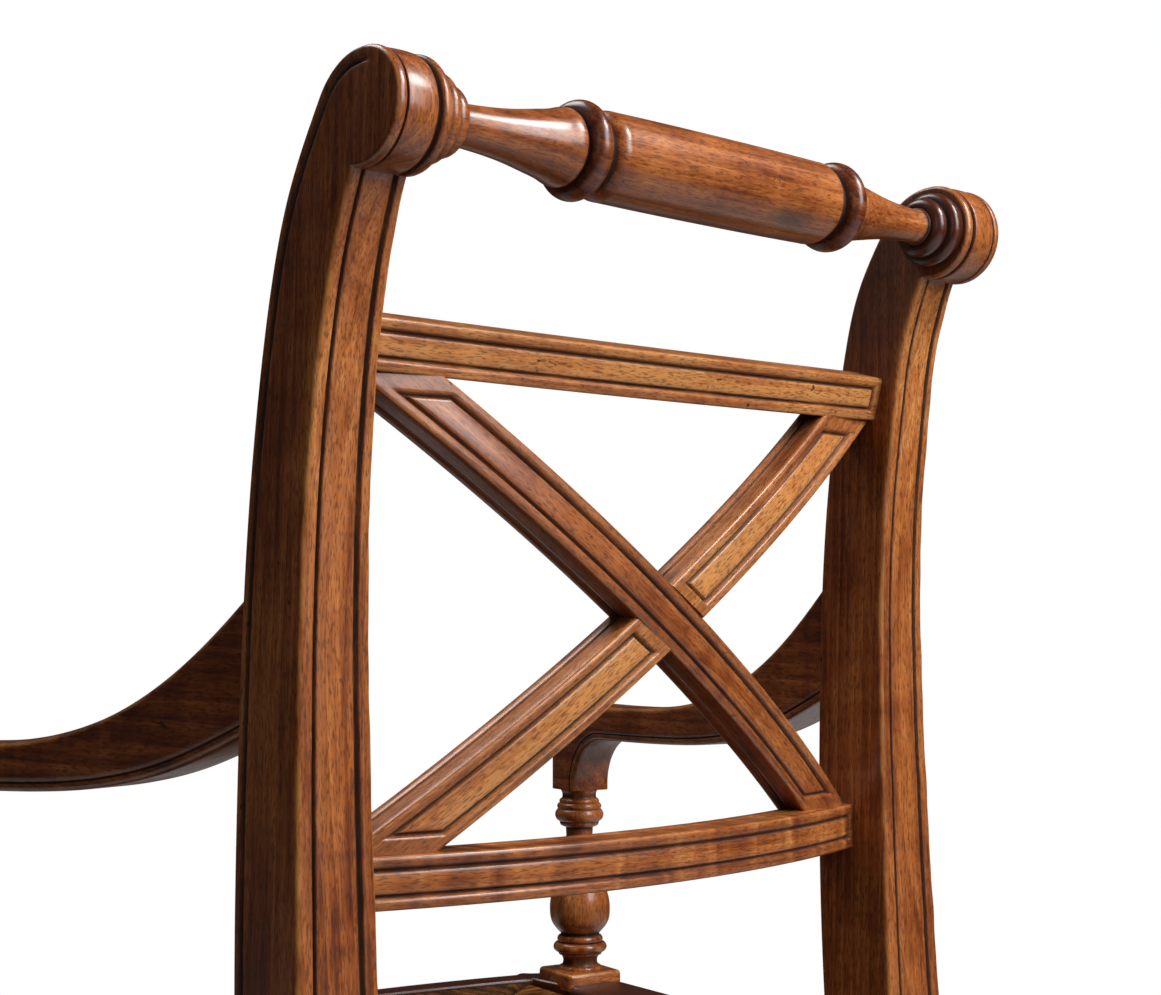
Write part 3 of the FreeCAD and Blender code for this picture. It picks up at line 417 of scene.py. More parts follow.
def rear_face(groove):
    """Half of a stile's back face, from the rounded arris by its strip and a groove of a given width to the
    middle."""
    half = groove / 2
    return (
        (1, 1.0, 0.0, 3.6, 0, 0), (1, 1.0, -0.25, 2.0, 0, 0.7), (1, 1.0, -0.9, 0.85, 0, 1),
        (1, 1.0, -1.9, 0.2, 0, 0.8), (1, 1.0, -3.0, 0.0, 0, 0.3), (1, 0.57, half + 1.1, 0.0, 0.12, 0),
        (1, 0.57, half + 0.4, 0.12, 0.3, 0.5), (1, 0.57, half, 0.6, 0.8, 0),
        (1, 0.57, 0.6 * half, 1.9, 1, 0), (1, 0.57, 0.0, 2.4, 1, 0), (1, 0.57, -0.6 * half, 1.9, 1, 0),
        (1, 0.57, -half, 0.7, 0.8, 0), (1, 0.57, -half - 0.5, 0.2, 0.25, 0.5),
        (1, 0.57, -half - 1.4, 0.05, 0.1, 0.2), (1, 0.36, -1.0, -0.05, 0.03, 0),
        (1, 0.18, 0.0, -0.1, 0, 0), (1, 0.0, 0.0, -0.12, 0, 0),
    )


def stile(name, side):
    """Stile, back leg and scroll in one: a moulded section carried up between the front and the back edge of
    the side outline. At the scroll the front edge goes on round the drum, and the back edge waits at the
    corner under it. A point of the section hangs on one of the two edges, by its normal, and spreads with
    the thickness there. The groove in the outer side fades out over the drum, the section shuts where the
    drum ends at that corner, and rubbed edges waver by some tenths of a millimetre."""
    y, z = DRUM[side]
    brow, crest, corner = (y - 33, z + 10), (y - 2, z + DRUM_R), (y - 5.5, z - 27)
    face = outline([("spline", (56, FOOT_Z), (-1, 230), (-40.3, 465), (-48.6, 600), (-49, 690), (-45.8, 785),
                     (-39.4, 847), (-31.6, 893), (y - 55, z - 29.5), brow),
                    ("arc", brow, (y - 21, z + 22.2), crest)], 0.8)
    rim = arc(crest, (y + DRUM_R, z), corner, 160)
    rear = outline([("spline", corner, (y - 15.7, z - 54), (10, 866), (1.2, 785), (-0.3, 735), (2.8, 604),
                     (11, 465), (44, 230), (92, FOOT_Z))], 0.8)[::-1]
    crown = np.concatenate([face, rim[1:]])
    to_crest, to_end = along(face)[-1], along(crown)[-1]
    groove_fades = (to_crest - 8, to_crest + 14)
    section_shuts = (to_end - 34, to_end - 1)

    # Rows up to the neck of the scroll at even heights, then evenly round the drum.
    rise = np.linspace(0, 1, 240)
    neck = z - 6.5
    up_face = np.interp(FOOT_Z + rise * (neck - FOOT_Z), face[:, 1], along(face))
    to_neck = along(face)[np.argmin(abs(face[:, 1] - neck))]
    places = np.concatenate([up_face, np.linspace(to_neck, to_end, 90)[1:]])
    front = resampled(crown, places)
    front_in = inward(crown, 1)
    front_in = np.stack([np.interp(places, along(crown), front_in[:, axis]) for axis in (0, 1)], 1)
    back_height = FOOT_Z + rise * (corner[1] - FOOT_Z)
    back = np.stack([np.interp(back_height, rear[:, 1], rear[:, 0]), back_height], 1)
    back_in = inward(back, -1)
    wait = len(front) - len(back)
    back = np.concatenate([back, np.repeat(back[-1:], wait, 0)])
    back_in = np.concatenate([back_in, np.repeat(back_in[-1:], wait, 0)])

    # Whole section, and how it changes along the rows.
    outer_groove, inner_groove = (1.8, 2.7) if side > 0 else (2.7, 1.8)
    outer = np.array(FRONT_OUTER + SIDE_OUTER + rear_face(outer_groove), float)
    inner = np.array(FRONT_INNER + SIDE_INNER + rear_face(inner_groove), float)[1:-1][::-1]
    section = np.concatenate([outer, inner])
    hangs, spread, sideways, deep, stained, worn = section.T
    way = np.concatenate([np.ones(len(outer)), -np.ones(len(inner))])
    keep = np.ones((len(front), len(section)))
    lips = slice(len(FRONT_OUTER), len(FRONT_OUTER) + len(SIDE_OUTER))
    keep[:, lips] = 1 - stepped(places, *groove_fades)[:, None]
    on_back = hangs[None, :, None]
    edge = front[:, None] * (1 - on_back) + back[:, None] * on_back
    normal = front_in[:, None] * (1 - on_back) + back_in[:, None] * on_back
    level = back[:, 1]
    waver = 0.14 * np.sin(level / 11.3 + side) + 0.16 * np.sin(level / 4.9) * np.sin(level / 23.7)
    rubbed = waver[:, None] * worn * hangs
    shut = stepped(places, *section_shuts)[:, None]
    depth = deep - np.maximum(deep - FRONT_DEPTH, 0) * shut
    spot = edge + normal * (depth + rubbed)[..., None]
    thick = np.interp(spot[..., 1], *STILE_HALF)
    across = way * (spread * thick + sideways * keep - 0.3 * rubbed)
    rows = np.stack([side * (STILE_X + across), spot[..., 0], spot[..., 1]], -1)

    # Painted shade darkens the inner side under the scroll, and painted light makes the back lighter towards
    # the top.
    shaded_inner_side = (way < 0) & (spread == 1) & (sideways == 0)
    stain_and_shade = stained * keep + 0.7 * shaded_inner_side * stepped(spot[..., 1], z - 150, z - 25)
    behind = (hangs == 1) & (deep < 5)
    tone_and_painted_light = (-0.04 if side > 0 else 0.0) + 0.1 * behind * stepped(spot[..., 1], 550, 900)
    return surface(name, rows, WALNUT, stain_and_shade=stain_and_shade, worn=worn, figured=0.2, tone_and_painted_light=tone_and_painted_light, stand_for=(name,),
                   seed=1.0 if side > 0 else 2.0)


# Moulding of a panelled back member: distance in from its edge, depth below its face, stain, wear.
PANEL = np.array((
    (0.0, 1.9, 0.05, 0.4), (0.2, 1.1, 0.05, 0.8), (0.7, 0.45, 0.08, 0.8), (1.5, 0.1, 0.14, 0.4),
    (2.6, 0.0, 0.29, 0.1), (3.8, 0.02, 0.29, 0.1), (4.5, 0.12, 0.2, 0.4), (5.0, 0.4, 0.18, 0.5),
    (5.45, 0.9, 0.22, 0.2), (5.9, 1.6, 0.42, 0), (6.3, 2.4, 0.9, 0), (6.8, 2.7, 1, 0), (7.3, 2.5, 0.9, 0),
    (7.65, 1.8, 0.6, 0), (7.95, 1.2, 0.3, 0), (8.4, 0.9, 0.2, 0.4), (9.4, 0.75, 0.2, 0.2),
    (11.4, 0.66, 0.08, 0), (15.0, 0.6, 0, 0),
))

# Places of the moulding from the strip to the panel, at which a member has lines across it.
MOULDING = PANEL[(PANEL[:, 0] > 2.3) & (PANEL[:, 0] < 12), 0]
# Width of the strip that runs on past a panel's ends.
STRIP = 2.4


def panelled(half, thick, inset_back, inset_front, sunk_back, sunk_front):
    """Section of a panelled member for every place along it: (across, depth, stain, wear, panel) round the
    back, the upper side with its quirk, the front face and the lower side. A face's moulding is read at the
    lesser of the distance in from its long edge and the distance in from the panel's end, and sunk where
    another bar crosses. Panel is 1 on the panel itself and 0 on the strips."""
    reach = np.concatenate([PANEL[PANEL[:, 0] < half, 0], [half]])
    from_edge = np.concatenate([reach, reach[-2::-1]])
    across = np.concatenate([reach - half, half - reach[-2::-1]])

    def face(inset, sunk):
        q = np.minimum(from_edge, np.maximum(inset, STRIP)[:, None])
        depth, stain_and_shade, worn = (np.interp(q, PANEL[:, 0], PANEL[:, column]) for column in (1, 2, 3))
        return depth + sunk[:, None], stain_and_shade, worn, stepped(q, 7.2, 8.8)

    groove = 0.58 * thick
    quirk = np.array(((5.0, 0.0, 0), (0.52 * thick, 0.0, 0), (groove, 0.0, 0), (groove + 0.4, 0.35, 0.6),
                      (groove + 1.1, 1.3, 1), (groove + 1.8, 0.35, 0.6), (groove + 2.3, 0.0, 0),
                      (thick - 4.0, 0.0, 0)))
    flip = quirk[::-1]
    ones = np.ones((len(inset_back), 1))
    plain = 0 * ones * quirk[:, 2]
    front, *tones = (values[:, ::-1] for values in face(inset_front, sunk_front))
    parts = (
        (ones * across, *face(inset_back, sunk_back)),
        (ones * (half - quirk[:, 1]), ones * quirk[:, 0], ones * quirk[:, 2], plain, plain),
        (ones * across[::-1], thick - front, *tones),
        (ones * (flip[:, 1] - half), ones * flip[:, 0], ones * flip[:, 2], plain, plain),
    )
    return [np.concatenate(values, 1) for values in zip(*parts)]


def end_lines(low, high, middle):
    """Places along a member: close together over the mouldings at both panel ends, even between them."""
    clear = 13
    even = np.linspace(low + clear, high - clear, middle)
    return np.concatenate([low + MOULDING, even, high - MOULDING[::-1]])


def back_rail(name, foot, bow, thick, tilt, figured, tone_and_painted_light, seed):
    """Bowed, panelled rail between the stiles: its back face is an arc whose middle stands back by the bow,
    its section leans by a tilt, and its panel is closed by the same moulding at both ends."""
    half, half_length, let_in = 13.0, 190.0, 2.5
    y, z = foot
    reach = STILE_X - np.interp(z, *STILE_HALF)
    end = reach + 0.7
    tip = np.array((reach + 0.5, reach + let_in))
    a = np.concatenate([-tip[::-1], end_lines(-end, end, 90), tip])
    inset = end - abs(a)
    across, depth, stain_and_shade, worn, panel = panelled(half, thick, inset, inset, 0 * a, 0 * a)
    back = bow * (1 - (a / half_length) ** 2)[:, None] - depth
    lean = math.radians(tilt)
    rows = np.stack([a[:, None] + 0 * across, y + back * math.cos(lean) + across * math.sin(lean),
                     z - back * math.sin(lean) + across * math.cos(lean)], -1)
    lumber = np.stack([across, depth, a[:, None] + 0 * across], -1)
    return surface(name, rows, WALNUT, grain=lumber, stain_and_shade=stain_and_shade, worn=worn, figured=figured,
                   tone_and_painted_light=tone_and_painted_light * (0.55 + 0.45 * panel), stand_for=(name,), seed=seed)


def cross_bar(name, side, tone_and_painted_light, seed):
    """Bar of the cross, rising to one side: the panelled section follows an arc, and its places along lean
    over so that the ends lie level with the rails and, near the crossing, in line with the other bar. Where
    the bars cross, one keeps its back and the other its front, and the hidden half is sunk."""
    half, thick, sunk = 14.4, 23.4, 9.0
    foot_z, head_z = 626, 855.2
    end_gap, cross_gap = 2.2, 0.9
    along_z, along_x = math.cos(LEAN), math.sin(LEAN)
    between_bars = math.sin(2 * LEAN)
    low, high = (foot_z - CROSS_Z) / along_z, (head_z - CROSS_Z) / along_z
    crossing = half / between_bars

    # Places along the bar, close together over the mouldings at its ends and beside the other bar.
    foot = low + (MOULDING + end_gap) / along_z
    head = high - (MOULDING + end_gap) / along_z
    near = np.concatenate([[crossing - 3, crossing - 0.9, crossing - 0.4],
                           crossing + 0.1 + (MOULDING + cross_gap) / between_bars])
    a = np.concatenate([[low - 7, low - 2], foot, np.linspace(foot[-1], -near[-1], 34)[1:-1], -near[::-1],
                        np.linspace(-crossing + 3, crossing - 3, 9)[1:-1], near,
                        np.linspace(near[-1], head[-1], 34)[1:-1], head[::-1], [high + 2, high + 7]])
    square = 1 / math.tan(2 * LEAN)
    level = -1 / math.tan(math.pi / 2 - LEAN)
    lean = square + (level - square) * stepped(abs(a), 35, 150)
    from_ends = np.minimum(a - low, high - a) * along_z - end_gap
    from_cross = (abs(a) - crossing) * between_bars - cross_gap
    under = sunk * (abs(a) < crossing - 0.6)
    broken = np.minimum(from_ends, np.where(abs(a) < crossing, -sunk, from_cross))
    if side > 0:
        across, depth, stain_and_shade, worn, panel = panelled(half, thick, from_ends, broken, 0 * a, under)
    else:
        across, depth, stain_and_shade, worn, panel = panelled(half, thick, broken, from_ends, under, 0 * a)
    # Painted shade on the bar's sides near its ends and by the crossing, where the parts meet.
    joint_shade = np.maximum(1 - stepped(from_ends, 0, 24), 1 - stepped(abs(a) - crossing, 2, 24))
    stain_and_shade = stain_and_shade + 0.75 * joint_shade[:, None] * ((depth > 3.5) & (depth < thick - 3.5))

    run = a[:, None] + across * lean[:, None]
    tail_low, tail_high = (-240, -33), (240, -14)
    curve = np.concatenate([[tail_low], arc((-200, -21), (0, 10.5), (200, -6), 400), [tail_high]])
    back = np.interp(run, curve[:, 0], curve[:, 1]) - depth
    rows = np.stack([side * (run * along_x - across * along_z), back,
                     CROSS_Z + run * along_z + across * along_x], -1)
    lumber = np.stack([across, depth, run], -1)
    return surface(name, rows, WALNUT, grain=lumber, stain_and_shade=stain_and_shade, worn=worn,
                   tone_and_painted_light=tone_and_painted_light * (0.5 + 0.5 * panel) - 0.01, stand_for=(name,), seed=seed)


def turned(name, profile, axis, centre, stand_for, seed, around, shear=(0, 0), tone_and_painted_light=0.0):
    """Turned piece: a profile of (place along the axis, radius) carried round the axis, which drifts
    sideways by the shear on each 100 mm. Stain gathers where the profile lies below its own mean over a
    window along it, and wear shows where it stands above it."""
    window, full_stain, full_wear = 11.0, 0.9, 1.6
    place, radius = profile.T
    run = along(profile)
    even = np.linspace(0, run[-1], 4 * len(run))
    width = max(3, int(len(even) * window / run[-1]) | 1)
    level = np.interp(even, run, radius)
    padded = np.pad(level, width // 2, mode="edge")
    mean = np.interp(run, even, np.convolve(padded, np.ones(width) / width, mode="valid"))
    stain_and_shade = np.clip((mean - radius) / full_stain - 0.1, 0, 1)
    worn = np.clip((radius - mean) / full_wear, 0, 1)
    angle = np.linspace(0, math.tau, around, endpoint=False)
    one = radius[:, None] * np.cos(angle)
    two = radius[:, None] * np.sin(angle)
    far = place[:, None] + 0 * one
    if axis == "x":
        drift = (far - place.max()) / 100
        rows = np.stack([far, centre[0] + one + drift * shear[0], centre[1] + two + drift * shear[1]], -1)
    else:
        drift = (far - np.mean(place)) / 100
        rows = np.stack([centre[0] + one + drift * shear[0], centre[1] + two + drift * shear[1], far], -1)
    lumber = np.stack([one, two, far], -1)
    tone_and_painted_light = np.broadcast_to(tone_and_painted_light, place.shape)[:, None]
    return surface(name, rows, WALNUT, grain=lumber, stain_and_shade=stain_and_shade[:, None], worn=worn[:, None], tone_and_painted_light=tone_and_painted_light,
                   stand_for=stand_for, seed=seed, sharp=60.0)


def top_rail():
    """Turned top rail: barrel with rounded ends, a gap and a bead, flared neck and two rings at each drum.
    The right neck is slimmer than the left, the right rings are darkened with painted shade, and both beads
    are darker than the rest."""
    half = outline((
        ("arc", (0, 23.2), (40, 23.1), (78, 22.7)), ("arc", (78, 22.7), (83.6, 21.4), (86.4, 18)),
        ("line", (86.4, 18), (90.4, 17.6)), ("line", (90.4, 17.6), (91.2, 19)),
        ("arc", (91.2, 19), (97.4, 25), (103, 20.2)), ("line", (103, 20.2), (103.4, 17.6)),
        ("line", (103.4, 17.6), (105.6, 17.4)), ("line", (105.6, 17.4), (105.9, 19.2)),
        ("spline", (105.9, 19.3), (107, 19.5), (114, 18.1), (124, 15.9), (139, 13.2), (156, 11.2),
         (174.6, 10)),
        ("line", (174.6, 10), (175, 10.8)), ("line", (175, 10.8), (176, 11)),
        ("arc", (176, 11), (180, 17.2), (184, 16.4)), ("line", (184, 16.4), (184.4, 16)),
        ("line", (184.4, 16), (184.8, 17)), ("arc", (184.8, 17), (188.4, 21.6), (191.8, 20.6)),
        ("line", (191.8, 20.6), (199, 20.4)),
    ), 0.8)
    whole = np.concatenate([half[::-1] * [-1, 1], half[1:]])
    right = -whole[:, 0]
    right_neck = stepped(right, 105, 112) * (1 - stepped(right, 168, 174))
    beads = stepped(abs(right), 84, 88) * (1 - stepped(abs(right), 103, 105))
    whole[:, 1] *= 1 - 0.07 * right_neck
    # Painted shade makes the right rings dark; both beads are a little darker too.
    tone_and_painted_light = -0.3 * stepped(right, 174, 176) - 0.14 * beads
    return turned("turned_top_rail", whole, "x", CREST, ("turned_top_rail",), seed=3.0, around=128,
                  shear=(0.3, 0.5), tone_and_painted_light=tone_and_painted_light)


def arm(name, side, seed):
    """Swept arm: a section with rounded edges and a quirk above its lower edges, carried along between the
    arm's top line, which goes on down the rounded front, and its lower line, which goes down the cove to the
    block. The lines are drawn as (distance from the stile, height)."""
    cove = 262
    top = outline((
        ("spline", (-14, 767.5), (0, 755), (50, 716), (102, 690), (160, 676.5), (230, 672), (290, 672)),
        ("arc", (290, 672), (318, 660), (329.8, 632)), ("line", (329.8, 632), (329.8, 607)),
    ), 1.0)
    under = outline((
        ("spline", (-14, 693), (0, 687), (60, 664), (115, 653), (180, 648.5), (cove, 647)),
        ("arc", (cove, 647), (287.3, 636.5), (297.8, 611)), ("line", (297.8, 611), (297.8, 607)),
    ), 1.0)
    turn_top = along(top)[np.argmin(abs(top[:, 0] - cove) + 1000 * (top[:, 1] < 650))]
    turn_under = along(under)[np.argmin(abs(under[:, 0] - cove))]

    def read(line, turn):
        places = np.concatenate([np.linspace(0, turn, 90), np.linspace(turn, along(line)[-1], 60)[1:]])
        return resampled(line, places)

    high, low = read(top, turn_top), read(under, turn_under)
    high_in, low_in = inward(high, 1), inward(low, -1)
    # Half of the section: line that a point hangs on (0 top, 1 lower), distance sideways, distance in from
    # that line, stain, wear.
    section = np.array((
        (0, 0.0, -0.5, 0, 0), (0, 8.0, -0.3, 0, 0), (0, 12.0, 0.1, 0, 0.2), (0, 14.2, 0.8, 0, 0.7),
        (0, 15.4, 1.9, 0, 1), (0, 15.9, 3.4, 0, 0.6), (0, 16.0, 5.5, 0, 0), (0, 16.0, 9.0, 0, 0),
        (1, 16.0, 9.0, 0, 0), (1, 16.0, 5.8, 0, 0.2), (1, 15.7, 5.4, 0.6, 0), (1, 14.9, 4.9, 1, 0),
        (1, 15.6, 4.3, 0.7, 0), (1, 16.0, 3.6, 0, 0.6), (1, 15.9, 2.0, 0, 0.6), (1, 15.3, 0.9, 0, 1),
        (1, 14.0, 0.2, 0, 0.6), (1, 11.0, 0.0, 0, 0), (1, 5.0, 0.0, 0, 0), (1, 0.0, 0.0, 0, 0),
    ))
    mirror = section[1:-1][::-1] * [1, -1, 1, 1, 1]
    section = np.concatenate([section, mirror])
    on_low = section[:, 0][None, :, None]
    spot = (high[:, None] * (1 - on_low) + low[:, None] * on_low
            + (high_in[:, None] * (1 - on_low) + low_in[:, None] * on_low) * section[:, 2][None, :, None])
    run = np.array(SUPPORT) - ARM_START
    ahead = run / np.hypot(*run)
    out = np.array((-ahead[1], ahead[0]))
    s, z, u = spot[..., 0], spot[..., 1], section[:, 1] + 0 * spot[..., 0]
    x, y = (ARM_START[axis] + s * ahead[axis] + u * out[axis] for axis in (0, 1))
    rows = np.stack([side * x, y, z], -1)
    lumber = np.stack([u, z * 0.6, s], -1)
    return surface(name, rows, WALNUT, grain=lumber, stain_and_shade=section[:, 3], worn=section[:, 4], tone_and_painted_light=-0.08,
                   stand_for=(name,), seed=seed)


def rounded_plan(corners, radius, steps=5):
    """Closed plan through corners, each replaced by a bend that touches both sides at the radius from the
    corner."""
    c = np.array(corners, float)
    before = np.roll(c, 1, 0) - c
    after = np.roll(c, -1, 0) - c
    before /= np.linalg.norm(before, axis=1, keepdims=True)
    after /= np.linalg.norm(after, axis=1, keepdims=True)
    t = np.linspace(0, 1, steps)[None, :, None]
    start, end = c + before * radius, c + after * radius
    bend = (1 - t) ** 2 * start[:, None] + 2 * t * (1 - t) * c[:, None] + t ** 2 * end[:, None]
    return bend.reshape(-1, 2)


def slab(plan, levels):
    """Rows of a block: a plan repeated at heights, each drawn in from the sides by a distance, along its
    normals."""
    ahead = np.roll(plan, -1, 0) - np.roll(plan, 1, 0)
    ahead /= np.linalg.norm(ahead, axis=1, keepdims=True)
    left = np.stack([-ahead[:, 1], ahead[:, 0]], 1)
    rows = [np.column_stack([plan + left * inset, np.full(len(plan), z)]) for z, inset in levels]
    return np.array(rows)


def arm_support(side, seed):
    """Baluster under an arm, turned, on a square plinth with rounded edges that is set in line with the
    arm."""
    plinth = 23
    name = "left_arm_support" if side > 0 else "right_arm_support"
    profile = outline((
        ("line", (470, 15.4), (472.4, 15.6)), ("arc", (472.4, 15.6), (474.4, 16.2), (476, 13.9)),
        ("arc", (476, 13.9), (479.7, 12.7), (483.6, 14.4)), ("line", (483.6, 14.4), (484, 15.6)),
        ("arc", (484, 15.6), (485, 16.2), (486, 15.9)), ("arc", (486, 15.9), (489.8, 20), (493.4, 16.2)),
        ("arc", (493.4, 16.2), (496.2, 17), (498.6, 14.6)), ("line", (498.6, 14.6), (499.4, 14)),
        ("spline", (499.4, 14), (503, 17.4), (508, 20.9), (516, 22.5), (527, 21.6), (541, 16.6), (556, 12),
         (573, 9.9)),
        ("line", (573, 9.9), (578.6, 10.2)), ("line", (578.6, 10.2), (579.4, 12)),
        ("arc", (579.4, 12), (581, 14.4), (583, 14.6)), ("arc", (583, 14.6), (588, 18.2), (592.6, 15.9)),
        ("arc", (592.6, 15.9), (595, 16.6), (597, 14.6)),
        ("arc", (597, 14.6), (598.8, 14.9), (600.3, 13.1)),
        ("arc", (600.3, 13.1), (603, 12.6), (606, 13.6)), ("line", (606, 13.6), (610, 13.8)),
    ), 0.6)
    centre = (side * SUPPORT[0], SUPPORT[1])
    turned(name + "_baluster", profile, "z", centre, (name,), seed, around=72, shear=(-side * 1.2, 0.4))
    angle = side * math.atan2(SUPPORT[0] - ARM_START[0], ARM_START[1] - SUPPORT[1])
    square = rounded_plan(((-plinth, -plinth), (plinth, -plinth), (plinth, plinth), (-plinth, plinth)), 4.0)
    turn = np.array(((math.cos(angle), math.sin(angle)), (-math.sin(angle), math.cos(angle))))
    plan = square @ turn + centre
    levels = ((461.5, 0), (470.6, 0), (471.8, 0.3), (472.8, 1.0), (473.4, 2.2), (473.6, 3.6))
    rows = slab(plan, levels)
    worn = np.array((0, 0.2, 0.8, 1, 0.6, 0))[:, None]
    return surface(name + "_plinth", rows, WALNUT, grain=rows[..., [1, 2, 0]], worn=worn, seed=seed + 0.4)


def seat_top_shade(z):
    """Lightness of the seat's frame at a height: painted shade makes its top edge much darker than its
    faces.
    """
    return -0.03 - 0.35 * stepped(z, 456, 464)


def front_leg(side, seed):
    """Front leg: turned shaft with a ball foot and rings, and above it the block at the corner of the
    seat."""
    name = "left_front_leg" if side > 0 else "right_front_leg"
    profile = outline((
        ("line", (FOOT_Z, 11.5), (3.6, 12)), ("spline", (3.6, 12), (22, 16), (44, 17), (65, 13.4)),
        ("line", (65, 13.4), (66, 13)), ("line", (66, 13), (68.4, 15.6)),
        ("arc", (68.4, 15.6), (76, 19.6), (83, 15.6)), ("line", (83, 15.6), (86.4, 14)),
        ("spline", (86.4, 14), (190, 18), (290, 22), (326, 22.6), (352, 18), (365, 14.8)),
        ("line", (365, 14.8), (366, 14.4)), ("line", (366, 14.4), (368.6, 17.2)),
        ("arc", (368.6, 17.2), (373.5, 20), (377.6, 17.4)), ("line", (377.6, 17.4), (378.2, 16.8)),
        ("arc", (378.2, 16.8), (385, 24), (392, 17.6)), ("line", (392, 17.6), (404, 17.6)),
    ), 1.2)
    centre = (side * SUPPORT[0], SUPPORT[1])
    turned(name + "_shaft", profile, "z", centre, (name,), seed, around=72)
    bow = arc((298.4, -360), (291, -386), (266, -394.7), 14)
    plan = np.concatenate([[(250, -327), (291.3, -327)], bow, [(250, -400)]])
    plan = plan[::-1] * [side, 1] if side > 0 else plan * [side, 1]
    levels = ((400, 3.0), (400.6, 1.0), (402.2, 0), (461, 0), (463.6, 0.5), (465.2, 1.8), (465.9, 4.0),
              (466, 7.0))
    rows = slab(plan, levels)
    worn = 0.4 * np.array((0.3, 0.8, 0.2, 0.1, 0.8, 0.8, 0, 0))[:, None]
    # Painted shade darkens the block's top edge, as on the seat rails.
    return surface(name + "_block", rows, WALNUT, grain=rows, worn=worn, tone_and_painted_light=seat_top_shade(rows[..., 2]),
                   seed=seed + 0.3)


def rebated_rail(name, outer, wall, inner, seed):
    """Seat rail: a section carried along three lines in plan, its outer face, the wall of the seat's recess
    and the inner face under the ledge. The outer and inner top edges are rounded. A point of the section has
    its line, its distance in from that line, its height and its wear."""
    toward = wall - outer
    toward /= np.linalg.norm(toward, axis=1, keepdims=True)
    section = (
        (0, 3.0, 405.0, 0), (0, 0.8, 405.8, 0.6), (0, 0.0, 408.0, 0), (0, 0.0, 430.0, 0),
        (0, 0.0, 458.0, 0), (0, 0.5, 462.0, 0.5), (0, 1.7, 464.6, 1), (0, 3.6, 465.8, 0.6),
        (0, 6.0, 466.0, 0), (1, -4.0, 466.0, 0), (1, -1.4, 465.6, 0.5), (1, -0.3, 464.6, 0.8),
        (1, 0.0, 463.0, 0.2), (1, 0.0, 442.0, 0), (2, 0.0, 442.0, 0), (2, 0.0, 407.0, 0),
        (2, -1.5, 405.0, 0),
    )
    lines = (outer, wall, inner)
    plan = np.stack([lines[k] + toward * inset for k, inset, _, _ in section], 1)
    z = np.array([row[2] for row in section]) + 0 * plan[..., 0]
    rows = np.concatenate([plan, z[..., None]], -1)
    run = along(outer)[:, None] + 0 * z
    lumber = np.stack([z, plan[..., 1] * 0.4, run], -1)
    worn = 0.4 * np.array([row[3] for row in section])
    # Painted shade darkens the rail's top edge.
    return surface(name, rows, WALNUT, grain=lumber, stain_and_shade=0.1, worn=worn, tone_and_painted_light=seat_top_shade(z),
                   stand_for=(name,), seed=seed)


def seat_rails():
    """The four seat rails: bowed front, straight rear, and two sides that spread towards the front."""
    front = arc((250.5, -400), (0, -440), (-250.5, -400), 90)
    recess = arc((249, -380), (0, -422), (-249, -380), 400)
    wall = np.stack([front[:, 0], np.interp(-front[:, 0], -recess[:, 0], recess[:, 1])], 1)
    inner = np.stack([front[:, 0], np.full(len(front), -368.0)], 1)
    rebated_rail("front_seat_rail", front, wall, inner, 11.0)

    rear_face_y, wall_y, ledge_y = -14.0, -44.0, -56.0
    x = np.linspace(187, -187, 60)
    rear = (np.stack([x, np.full(60, y)], 1) for y in (rear_face_y, wall_y, ledge_y))
    rebated_rail("rear_seat_rail", *rear, 12.0)

    # Distances of the sides' three lines from the middle, and how far they spread for each millimetre ahead.
    start_y, end_y, bulge = -34, -327.4, 7
    outer_spread, recess_spread = 0.2165, 0.1875
    y = np.linspace(start_y, end_y, 60)
    ahead = wall_y - y
    bowed = bulge * np.sin((start_y - y) / (start_y - end_y) * math.pi)
    spread = (230 + ahead * outer_spread + bowed, 186 + ahead * recess_spread, 174 + ahead * recess_spread)
    for name, side, seed in (("left_seat_rail", 1, 13.0), ("right_seat_rail", -1, 14.0)):
        rebated_rail(name, *(np.stack([side * x, y], 1) for x in spread), seed)


